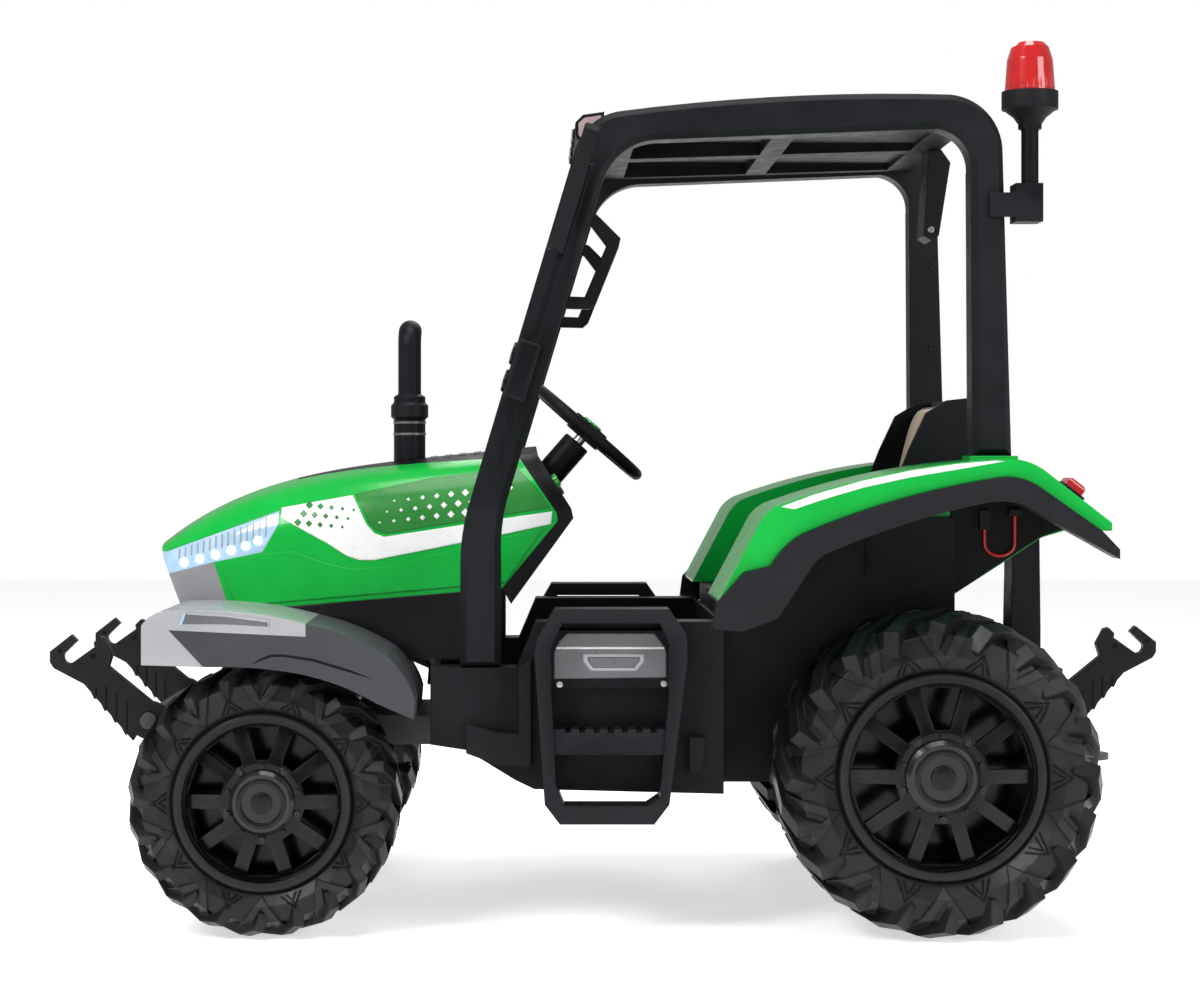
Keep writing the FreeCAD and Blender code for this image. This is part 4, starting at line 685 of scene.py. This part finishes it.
def dress_small_lamps():
    """Lenses and bezels of the pillars' work lamps and the roof's lamp bar, and the bar's end lenses."""
    for side, word in SIDES:
        lenses, bezels = bmesh.new(), bmesh.new()
        for spot in WORK_LENSES:
            place = mirrored(WORK_LAMP @ at(*spot) @ FACING_FRONT, side)
            add_turned(lenses, WORK_LENS, place)
            add_turned(bezels, WORK_BEZEL, place)
        fit(new_object(f"work_lamp_lenses_{word}", lenses, CLEAR), "chassis")
        fit(new_object(f"work_lamp_bezels_{word}", bezels, BLACK_GLOSS), "chassis")
    lenses, bezels = bmesh.new(), bmesh.new()
    for y in ROOF_LENSES:
        place = at(ROOF_X, y, ROOF_Z) @ FACING_FRONT
        add_turned(lenses, SMALL_LENS, place, segments=24)
        add_turned(bezels, SMALL_BEZEL, place, segments=24)
    fit(new_object("roof_lamp_lenses", lenses, CLEAR), "chassis")
    fit(new_object("roof_lamp_bezels", bezels, SILVER), "chassis")
    side_films("roof_lamp_ends", [ROOF_END], ("roof_lamp_bar",), ROOF_LENS, "lamp_clear", lift=0.6, thick=1.0)


def dress_red_lamps():
    """A frame round each tail lamp, and the beacon's funnel and bulb."""
    for side, word in SIDES:
        build = bmesh.new()
        add_frame(build, TAIL_OUTER, TAIL_INNER, TAIL_LOW, TAIL_HIGH, mirrored(TAIL_LAMP, side))
        fit(new_object(f"tail_lamp_base_{word}", build, CHARCOAL), "chassis")
    funnel = bmesh.new()
    add_turned(funnel, FUNNEL, at(BEACON_X, BEACON_Y, 0), segments=40)
    fit(new_object("beacon_funnel", funnel, CHARCOAL), "chassis")
    bulb = bmesh.new()
    add_turned(bulb, BULB, at(BEACON_X, BEACON_Y, BULB_Z))
    fit(new_object("beacon_bulb", bulb, SILVER), "chassis")


# Fenders

# White band along the top edge of each rear fender's outer face: a painted highlight.
REAR_FENDER_HIGHLIGHT = (
    (197, 548), (240, 564), (300, 581), (360, 593.6), (420, 602.2), (466, 606), (478, 605), (420, 595),
    (360, 585), (300, 572), (250, 557), (214, 545),
)
# Black sheet on the rear fenders' inner faces: painted shade under the fenders, also standing in for the dark
# parts seen beneath them.
FENDER_INNER_SHADE = (
    (449, 431), (562, 504.5), (604, 518), (598, 527), (535, 562), (480, 580), (440, 580), (440, 431),
)
INNER_SHADE_START = -0.3
# Thin dark band along the crease of the front fenders: a painted shadow line under the step in the surface.
FENDER_CREASE_SHADOW = (
    (-468, 350), (-454, 358.5), (-442, 363), (-425, 363), (-388, 357.5), (-344, 344), (-314, 332),
    (-345, 341), (-389, 354.2), (-425, 360), (-441, 360), (-453, 355.8),
)
NOSE_SLOT = ((-551, 414), (-500, 411), (-446, 404), (-447, 398), (-500, 401), (-556, 401))
NOSE_LIP = (
    (-548, 415.6), (-500, 412.8), (-444, 405.6), (-443.5, 397), (-446, 397), (-446.5, 403), (-500, 410),
    (-548, 413),
)
NOSE_GLOW = ((-557.5, 400), (-552, 415), (-548.5, 415), (-553.5, 400))
ARCH_RIB = ((326, 452), (332, 452), (332, 500), (326, 498))


def dress_fenders():
    """Painted highlight along the rear fenders' top edges and painted shade on their inner faces, ribs of the
    arches, and the nose lamps and a painted shadow line at the crease of the front fenders.
    """
    rear, front, nose = ("rear_fenders",), ("front_fenders",), ("fender_nose_caps",)
    # Painted highlight along each rear fender's top edge.
    side_films("rear_fender_highlight", [REAR_FENDER_HIGHLIGHT], rear, WHITE, "silver", lift=0.5)
    # Painted shade on the rear fenders' inner faces.
    side_films("rear_fender_inner_shade", [FENDER_INNER_SHADE], rear, PANEL_BLACK, "charcoal",
               start=INNER_SHADE_START, lift=0.5)
    side_films("arch_rib", [ARCH_RIB], ("rear_housing",), CHARCOAL, "charcoal", lift=3, thick=3.4)
    # Painted shadow line along the front fenders' crease.
    side_films("fender_crease_shadow", [FENDER_CREASE_SHADOW], front, PANEL_BLACK, "charcoal", lift=0.3, step=6)
    side_films("nose_lamp_slot", [NOSE_SLOT], nose, DARK_SILVER, "chrome_grey", lift=0.4)
    side_films("nose_lamp_lip", [NOSE_LIP], nose, SILVER, "silver", lift=1.2, thick=1.4, step=6)
    side_films("nose_lamp_glow", [NOSE_GLOW], nose, CLEAR, "lamp_clear", lift=0.9, thick=0.6)


# Hook arms, as the rear one lies; the front ones are its reflection in X

# Node, body, sign of X and the side that the arm's outer face looks to
ARMS = (
    ("front_hook_arm_left", "front_arm_left", -1, -1),
    ("front_hook_arm_right", "front_arm_right", -1, 1),
    ("rear_hook_arm", "rear_arm", 1, -1),
)
# Each groove's x, foot and top, and each hole's x, z and radius
GROOVES = ((692, 293, 306), (678.4, 277, 308), (664.9, 263, 298), (651, 248, 288))
GROOVE_HALF = 1.2
ARM_HOLES = ((696, 347, 4), (740, 354, 3))
HOLE_CORNERS = 16
# The arm's lower edge: its upper end, the way down it, and square out of it
EDGE_START = Vector((708, 310))
EDGE_RUN = Vector((-65, -75)).normalized()
EDGE_OUT = Vector((75, -65)).normalized()
TOOTH_LENGTH = 11
TOOTH_DEPTH = 3
TOOTH_INSET = 0.2
TOOTH_DRAFT = 0.3


def arm_teeth(name, body, sign):
    """Saw teeth along the arm's lower edge, each with its tip at the foot of a groove."""
    low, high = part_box(name)
    place = at(0, (low.y + high.y) / 2 / MM, 0, "X", 90)
    half = (high.y - low.y) / 2 / MM - TOOTH_INSET
    build = bmesh.new()
    for x, _, _ in GROOVES:
        tip = EDGE_START + EDGE_RUN * ((x - EDGE_START.x) / EDGE_RUN.x)
        heel = tip - EDGE_RUN * TOOTH_LENGTH
        toe = tip + EDGE_RUN * TOOTH_DEPTH / 2
        tooth = (heel - EDGE_OUT, heel, tip + EDGE_OUT * TOOTH_DEPTH, toe - EDGE_OUT)
        add_prism(build, [(sign * corner.x, corner.y) for corner in tooth], -half, half, place, TOOTH_DRAFT)
    fit(new_object(f"{name}_teeth", build, GREY_BLACK), body)


def dress_arms():
    """Teeth of the three hook arms, and painted shade: dark lines over each groove and dark discs over each
    hole.
    """
    turns = [math.tau * step / HOLE_CORNERS for step in range(HOLE_CORNERS)]
    for name, body, sign, side in ARMS:
        arm_teeth(name, body, sign)
        # Dark lines over each groove and discs over each hole: painted shade.
        marks = []
        for x, low, high in GROOVES:
            marks.append(cut_rectangle(sign * x - GROOVE_HALF, sign * x + GROOVE_HALF, low, high, 1))
        for x, z, radius in ARM_HOLES:
            marks.append([(sign * x + radius * math.cos(turn), z + radius * math.sin(turn))
                          for turn in turns])
        for face, _ in SIDES:
            word = "outer" if face == side else "inner"
            film(f"{name}_grooves_{word}", marks, (name,), PANEL_BLACK, "black_gloss", body,
                 along=(0, -face, 0), lift=0.2, thick=0.5, step=8)


# Steps

STEP_PLATE = ((-70, 386), (40, 386), (50, 374), (56, 362), (56, 330), (-87, 328), (-87, 362), (-80, 376))
STEP_LINE = ((-84, 369), (53, 369), (54, 366), (-85, 366))
STEP_INLAY = ((-50, 360), (28, 360), (28, 350), (18, 338), (-40, 338), (-50, 350))
STEP_CORE = ((-44, 356), (22, 356), (22, 351), (15, 342), (-37, 342), (-44, 351))
STEP_SCREWS = ((-80, 321), (53, 322))
SCREW = ((4.6, -0.5), (4.6, 1.0), (3.8, 1.8), (2.2, 1.9), (1.8, 0.6), (0, 0.6))


def dress_steps():
    """Plate, line, inlay and screws of each step's panel."""
    step = ("step_frames",)
    side_films("step_plate", [STEP_PLATE], step, DARK_SILVER, "chrome_grey", lift=0.5)
    side_films("step_line", [STEP_LINE], step, WHITE, "silver", lift=1.0)
    side_films("step_inlay", [STEP_INLAY], step, SILVER, "silver", lift=1.0)
    side_films("step_inlay_core", [STEP_CORE], step, DARK_SILVER, "chrome_grey", lift=1.4)
    tree = skin(step)
    for side, word in SIDES:
        build = bmesh.new()
        for x, z in STEP_SCREWS:
            spot, _ = meet(tree, x, z, side)
            add_turned(build, SCREW, facing_out(spot, side), segments=20)
        fit(new_object(f"step_screws_{word}", build, STEEL), "chassis")


# Wheels

# Hub at (x, z), outer face, and the radii of the cap, the nuts' circle, the bead and the tyre
Wheel = namedtuple("Wheel", "axle x z face cap nut_ring bead radius")
WHEELS = (
    Wheel("front", -456, 174, face=348, cap=41, nut_ring=47, bead=113, radius=174),
    Wheel("rear", 401, 208, face=364.6, cap=47, nut_ring=53, bead=131, radius=208),
)
# (share of the cap's radius, height) corners of the ring and the boss on a cap
CAP_RING = ((0.62, -2), (0.62, 0.6), (0.66, 1.2), (0.74, 1.2), (0.78, 0.6), (0.78, -2))
CAP_BOSS = ((0.34, -2), (0.33, 0.5), (0.24, 0.9), (0, 1.0))
NUTS = 5
WASHER = ((6.2, -0.5), (6.2, 0.8), (5.4, 1.2), (4.6, 1.2))
NUT = ((4.6, 0.5), (4.6, 4.2), (3.8, 5.0), (2.2, 5.0), (1.8, 4.0), (0, 4.0))
# Chevrons on the side wall start at a distance from the bead and reach over a share of the wall. Their
# half width is a share of the tyre's radius. The inner one of a pair has a share of it, and is shorter.
CHEVRONS = 10
CHEVRON_NEAR = 7
CHEVRON_REACH = 0.42
CHEVRON_HALF = 0.082
INNER_SHARE = 0.53
INNER_SHORTER = 8
FOOT_WIDTH, TIP_WIDTH = 3.2, 4.6


def chevrons(wheel):
    """Pairs of open chevrons on the side wall, between its raised ribs."""
    near = wheel.bead + CHEVRON_NEAR
    far = wheel.bead + (wheel.radius - wheel.bead) * CHEVRON_REACH
    wide = wheel.radius * CHEVRON_HALF
    outlines = []
    for step in range(CHEVRONS):
        angle = math.tau * (step + 0.5) / CHEVRONS
        across, up = math.sin(angle), math.cos(angle)
        for half, reach in ((wide, far), (wide * INNER_SHARE, far - INNER_SHORTER)):
            inner = half - FOOT_WIDTH
            shape = ((near, -half), (reach, 0), (near, half),
                     (near, inner), (reach - TIP_WIDTH, 0), (near, -inner))
            outlines.append([(wheel.x + away * across + aside * up, wheel.z + away * up - aside * across)
                             for away, aside in shape])
    return outlines


def dress_wheels():
    """Ring and boss on each hub cap, wheel nuts with their washers, and raised side-wall chevrons in a darker
    black than the rubber, which is painted shade.
    """
    for wheel in WHEELS:
        for side, word in SIDES:
            body = f"{wheel.axle}_wheel_{word}"
            hub = mirrored(at(wheel.x, -wheel.face, wheel.z, "X", 90), side)
            rings = bmesh.new()
            for form in (CAP_RING, CAP_BOSS):
                profile = [(wheel.cap * share, height) for share, height in form]
                add_turned(rings, profile, hub, segments=48)
            fit(new_object(f"{wheel.axle}_hub_rings_{word}", rings, RIM_BLACK), body)
            nuts = bmesh.new()
            tree = skin((f"{wheel.axle}_rim_{word}",))
            for step in range(NUTS):
                angle = math.tau * (step + 0.5) / NUTS
                x = wheel.x + wheel.nut_ring * math.sin(angle)
                z = wheel.z + wheel.nut_ring * math.cos(angle)
                spot, _ = meet(tree, x, z, side)
                add_turned(nuts, WASHER, facing_out(spot, side), segments=24)
                add_turned(nuts, NUT, facing_out(spot, side), segments=6)
            fit(new_object(f"{wheel.axle}_nuts_{word}", nuts, CAP_GREY), body)
            # Raised chevrons in a darker black than the rubber: painted shade along the side wall's V
            # outlines.
            film(f"{wheel.axle}_tyre_chevron_shades_{word}", chevrons(wheel), (f"{wheel.axle}_tyre_{word}",),
                 PANEL_BLACK, "tyre", body, along=(0, -side, 0), lift=1.1, thick=1.6, step=9)


# Cab

MIRROR_HINGE = at(-62, -314, 948, "Y", PILLAR_LEAN)
MIRROR_FACE = at(8, -37, 0) @ Matrix.Rotation(math.radians(90), 4, "Y")
MIRROR_OUTLINE = rounded(148, 39, 4)
MIRROR_THICK, MIRROR_DRAFT = 1.4, 0.8
PILLAR_SCREWS = ((479, 897), (480, 773))
PILLAR_INNER = 250
# Middle line of the front pillar's channel, its half width, and the corner at its foot
CHANNEL = ((-157, 590), (-136.7, 675.6), (-111.2, 761), (-78, 867), (-42, 985))
CHANNEL_HALF = 5.5
CHANNEL_END = (-159, 585)
BOARD_BOLT_X, BOARD_BOLT_Y, BOARD_BOLT_Z = 436, 32, 925
EXHAUST_X = -286
BAND_LEVELS = (640, 656)
BAND = ((21, 0), (22.8, 0.4), (23.2, 2), (22.8, 3.6), (21, 4))
VENT_ROWS, VENT_COLUMNS = 3, 4
VENT_LOW, VENT_TALL, VENT_HALF = 618, 9, 1.6
VENT_RISE, VENT_PITCH = 16, 9
ROOF_RIBS = (-190, -114, -38, 38, 114, 190)
ROOF_RIB_FRONT, ROOF_RIB_REAR, ROOF_RIB_HALF, ROOF_RIB_CUT = 20, 400, 5, 4


def dress_cab():
    """Mirror glasses, pillar screws and painted shade along the pillars' channels, roof ribs, and the bands
    and vents of the exhaust.
    """
    for side, word in SIDES:
        glass = bmesh.new()
        place = mirrored(MIRROR_HINGE @ MIRROR_FACE, side)
        add_prism(glass, MIRROR_OUTLINE, 0, MIRROR_THICK, place, MIRROR_DRAFT)
        fit(new_object(f"mirror_glass_{word}", glass, MIRROR), f"mirror_{word[0]}")
    for side, word in SIDES:
        build = bmesh.new()
        for x, z in PILLAR_SCREWS:
            add_turned(build, SCREW, at(x, side * PILLAR_INNER, z, "X", 90 * side), segments=20)
        fit(new_object(f"pillar_screws_{word}", build, BLACK_GLOSS), "chassis")
    # Dark gloss band over the front pillar's channel: painted shade in the channel.
    channel = [(x + CHANNEL_HALF, z) for x, z in CHANNEL]
    channel += [(x - CHANNEL_HALF, z) for x, z in reversed(CHANNEL)]
    channel.append(CHANNEL_END)
    side_films("pillar_channel_shade", [channel], ("cab_frames",), BLACK_GLOSS, "black_gloss", lift=0.3)
    bolts = bmesh.new()
    for side, _ in SIDES:
        place = at(BOARD_BOLT_X, side * BOARD_BOLT_Y, BOARD_BOLT_Z, "X", -90 * side)
        add_turned(bolts, SCREW, place, segments=20)
    fit(new_object("board_bolts", bolts, STEEL), "chassis")
    bands = bmesh.new()
    for z in BAND_LEVELS:
        add_turned(bands, BAND, at(EXHAUST_X, 0, z), segments=40)
    fit(new_object("exhaust_bands", bands, DARK_SILVER), "chassis")
    ribs = []
    for y in ROOF_RIBS:
        ribs.append(cut_rectangle(ROOF_RIB_FRONT, ROOF_RIB_REAR, y - ROOF_RIB_HALF, y + ROOF_RIB_HALF,
                                  ROOF_RIB_CUT))
    film("roof_ribs", ribs, ("roof_panel",), CHARCOAL, "charcoal", along=(0, 0, -1), start=-2.0, lift=1.8,
         thick=2.4, step=25)
    vents = []
    for row in range(VENT_ROWS):
        for column in range(VENT_COLUMNS):
            x = EXHAUST_X + (column - (VENT_COLUMNS - 1) / 2) * VENT_PITCH
            z = VENT_LOW + row * VENT_RISE
            vents.append(rectangle(x - VENT_HALF, x + VENT_HALF, z, z + VENT_TALL))
    side_films("exhaust_vents", vents, ("exhaust_stack",), BLACK_GLOSS, "black_gloss",
               lift=0.3, thick=0.6, step=6)


# Seat. Heights over a cushion's underside are shares of its thickness.

CUSHION_GRID = 40
SIDE_PULL = 0.022
CORNER_PULL = 0.03
SEAM_LEVEL = 0.34
CROWN_RISE = 0.52
SWELL_RISE = 0.14
SEWN_DEPTH = 0.16
SEWN_WIDTH = 0.035
SEWN_CHANNELS = (-0.5, 0, 0.5)
PIPING_RADIUS = 1.7
CUSHION_WIDTH = 276
SEAT_PLACE, SEAT_LENGTH, SEAT_THICK = at(300, 0, 440.5), 182, 30
BACK_PLACE = at(436, 0, 577, "Y", 12.9) @ Matrix.Rotation(math.radians(-90), 4, "Y")
BACK_LENGTH, BACK_THICK = 208, 33
BACK_RIBS = (-96, -32, 32, 96)
BACK_RIB_HALF, BACK_RIB_LOW, BACK_RIB_HIGH = 4, 500, 640


def drawn_in(along, across):
    """A place from -1 to 1 along a cushion, drawn in between its corners and a little at them."""
    return along * (1 - SIDE_PULL * (1 - across * across)) * (1 - CORNER_PULL * across ** 4 * along ** 2)


def cushion_level(layer, u, v):
    """Height at a place from -1 to 1 each way: crowned and sewn on top, flat below with a rounded rim."""
    if layer == "low":
        return SEAM_LEVEL * max(abs(u), abs(v)) ** 10
    crown = math.sqrt(max((1 - u ** 6) * (1 - v ** 6), 0))
    level = SEAM_LEVEL + CROWN_RISE * crown + SWELL_RISE * crown * (1 - u * u) * (1 - v * v)
    for middle in SEWN_CHANNELS:
        level -= SEWN_DEPTH * crown * math.exp(-((v - middle) / SEWN_WIDTH) ** 2)
    return level


def cushion(name, place, length, width, thick):
    """Crowned pad with piping round its seam: sides drawn in, a flat underside and sewn channels."""
    count = CUSHION_GRID
    build = bmesh.new()
    points = {}
    for layer in ("top", "low"):
        for i in range(count + 1):
            for j in range(count + 1):
                if layer == "low" and (i in (0, count) or j in (0, count)):
                    points[layer, i, j] = points["top", i, j]
                    continue
                u, v = 2 * i / count - 1, 2 * j / count - 1
                spot = Vector((length / 2 * drawn_in(u, v), width / 2 * drawn_in(v, u),
                               thick * cushion_level(layer, u, v)))
                points[layer, i, j] = build.verts.new(place @ (spot * MM))
    for layer in ("top", "low"):
        for i in range(count):
            for j in range(count):
                corners = ((i, j), (i + 1, j), (i + 1, j + 1), (i, j + 1))
                build.faces.new([points[layer, a, b] for a, b in corners])
    edge = [(i, 0) for i in range(count)] + [(count, j) for j in range(count)]
    edge += [(i, count) for i in range(count, 0, -1)] + [(0, j) for j in range(count, 0, -1)]
    seam = [points["top", i, j].co.copy() for i, j in edge]
    pad = new_object(name, build, BEIGE)
    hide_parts("seat_pads")
    fit(pad, "chassis")
    piping, spline = new_curve(f"{name}_piping", "POLY", seam, PIPING_RADIUS, 3, PIPING)
    spline.use_cyclic_u = True
    fit(piping, "chassis")


def dress_seat():
    """Seat and back cushions, and the ribs behind the seat shell."""
    cushion("seat_cushion", SEAT_PLACE, SEAT_LENGTH, CUSHION_WIDTH, SEAT_THICK)
    cushion("back_cushion", BACK_PLACE, BACK_LENGTH, CUSHION_WIDTH, BACK_THICK)
    ribs = [rectangle(y - BACK_RIB_HALF, y + BACK_RIB_HALF, BACK_RIB_LOW, BACK_RIB_HIGH) for y in BACK_RIBS]
    film("seat_back_ribs", ribs, ("seat_shell",), CHARCOAL, "charcoal", along=(-1, 0, 0), lift=3, thick=3.6,
         step=25)


# Controls and floor

DIAL = at(-85, 92, 577, "Y", 57.9)
DIAL_BEZEL = ((25, -3), (25, 3), (23, 4.4), (20, 3.6), (19, 1.4))
DIAL_FACE = ((20, 0.4), (20, 1.2), (0, 1.4))
DIAL_MARKS, MARK_TURN, MARK_START = 9, 30, -30
MARK = rectangle(12.5, 17, -0.6, 0.6)
MARK_LOW, MARK_HIGH = 1.2, 2.0
NEEDLE = ((-3, -1), (13, -0.4), (13, 0.4), (-3, 1))
NEEDLE_LOW, NEEDLE_HIGH, NEEDLE_TURN = 1.6, 2.6, 70
MARK_DRAFT = 0.2
TREAD_FRONTS, TREAD_SIDES = range(-150, 70, 20), (-200, 50)
TREAD_WIDTH, TREAD_LENGTH, TREAD_CUT = 8, 150, 3
TAIL_NEAR, TAIL_FAR, TAIL_LEVELS, TAIL_TALL = 46, 150, (214, 230, 246, 262, 278), 7
STRIP_NEAR, STRIP_FAR, STRIP_LEVELS, STRIP_TALL = 73, 117, range(250, 310, 12), 6


def turned(place, degrees):
    """A place turned about its own Z."""
    return place @ Matrix.Rotation(math.radians(degrees), 4, "Z")


def dress_controls():
    """Gauge on the dash, floor treads, tail louvres and the pedal's strips."""
    build = bmesh.new()
    add_turned(build, DIAL_BEZEL, DIAL, segments=40)
    fit(new_object("gauge_bezel", build, SILVER), "chassis")
    build = bmesh.new()
    add_turned(build, DIAL_FACE, DIAL, segments=40)
    fit(new_object("gauge_face", build, BLACK_GLOSS), "chassis")
    build = bmesh.new()
    for step in range(DIAL_MARKS):
        add_prism(build, MARK, MARK_LOW, MARK_HIGH, turned(DIAL, MARK_TURN * step + MARK_START), MARK_DRAFT)
    add_prism(build, NEEDLE, NEEDLE_LOW, NEEDLE_HIGH, turned(DIAL, NEEDLE_TURN), MARK_DRAFT)
    fit(new_object("gauge_marks", build, WHITE), "chassis")
    treads = []
    for x in TREAD_FRONTS:
        for y in TREAD_SIDES:
            treads.append(cut_rectangle(x, x + TREAD_WIDTH, y, y + TREAD_LENGTH, TREAD_CUT))
    film("floor_treads", treads, ("chassis_tub",), TYRE, "tyre", along=(0, 0, -1), lift=1.2,
         thick=1.8, step=25)
    louvres = slots(TAIL_NEAR, TAIL_FAR, TAIL_LEVELS, TAIL_TALL)
    film("tail_louvres", louvres, ("rear_housing",), BLACK_GLOSS, "black_gloss", along=(-1, 0, 0), lift=0.5,
         step=25)
    strips = [rectangle(STRIP_NEAR, STRIP_FAR, z, z + STRIP_TALL) for z in STRIP_LEVELS]
    film("pedal_strips", strips, ("pedal",), TYRE, "tyre", "pedal_body", along=(-1, 0, 0),
         lift=0.8, thick=1.4)


# Lead: its route as (x, z) at one depth, from the connector into the fender

LEAD = ((485, 514), (485, 505), (485.5, 486), (505, 477), (524.5, 486), (525, 505), (525, 520), (525, 532))
LEAD_Y = -174
LEAD_DIAMETER = 4


def dress_lead():
    """Red lead from its connector, down in a loop and up into the fender."""
    route = [Vector((x, LEAD_Y, z)) * MM for x, z in LEAD]
    wire, spline = new_curve("battery_wire", "NURBS", route, LEAD_DIAMETER / 2, 4, WIRE_RED)
    spline.order_u = 3
    spline.use_endpoint_u = True
    spline.resolution_u = 12
    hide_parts("battery_lead")
    fit(wire, "chassis")


finish_nodes()
make_floor()
make_world()
make_lights()
make_camera()
dress_hood()
dress_headlamps()
dress_small_lamps()
dress_red_lamps()
dress_fenders()
dress_arms()
dress_steps()
dress_wheels()
dress_cab()
dress_seat()
dress_controls()
dress_lead()
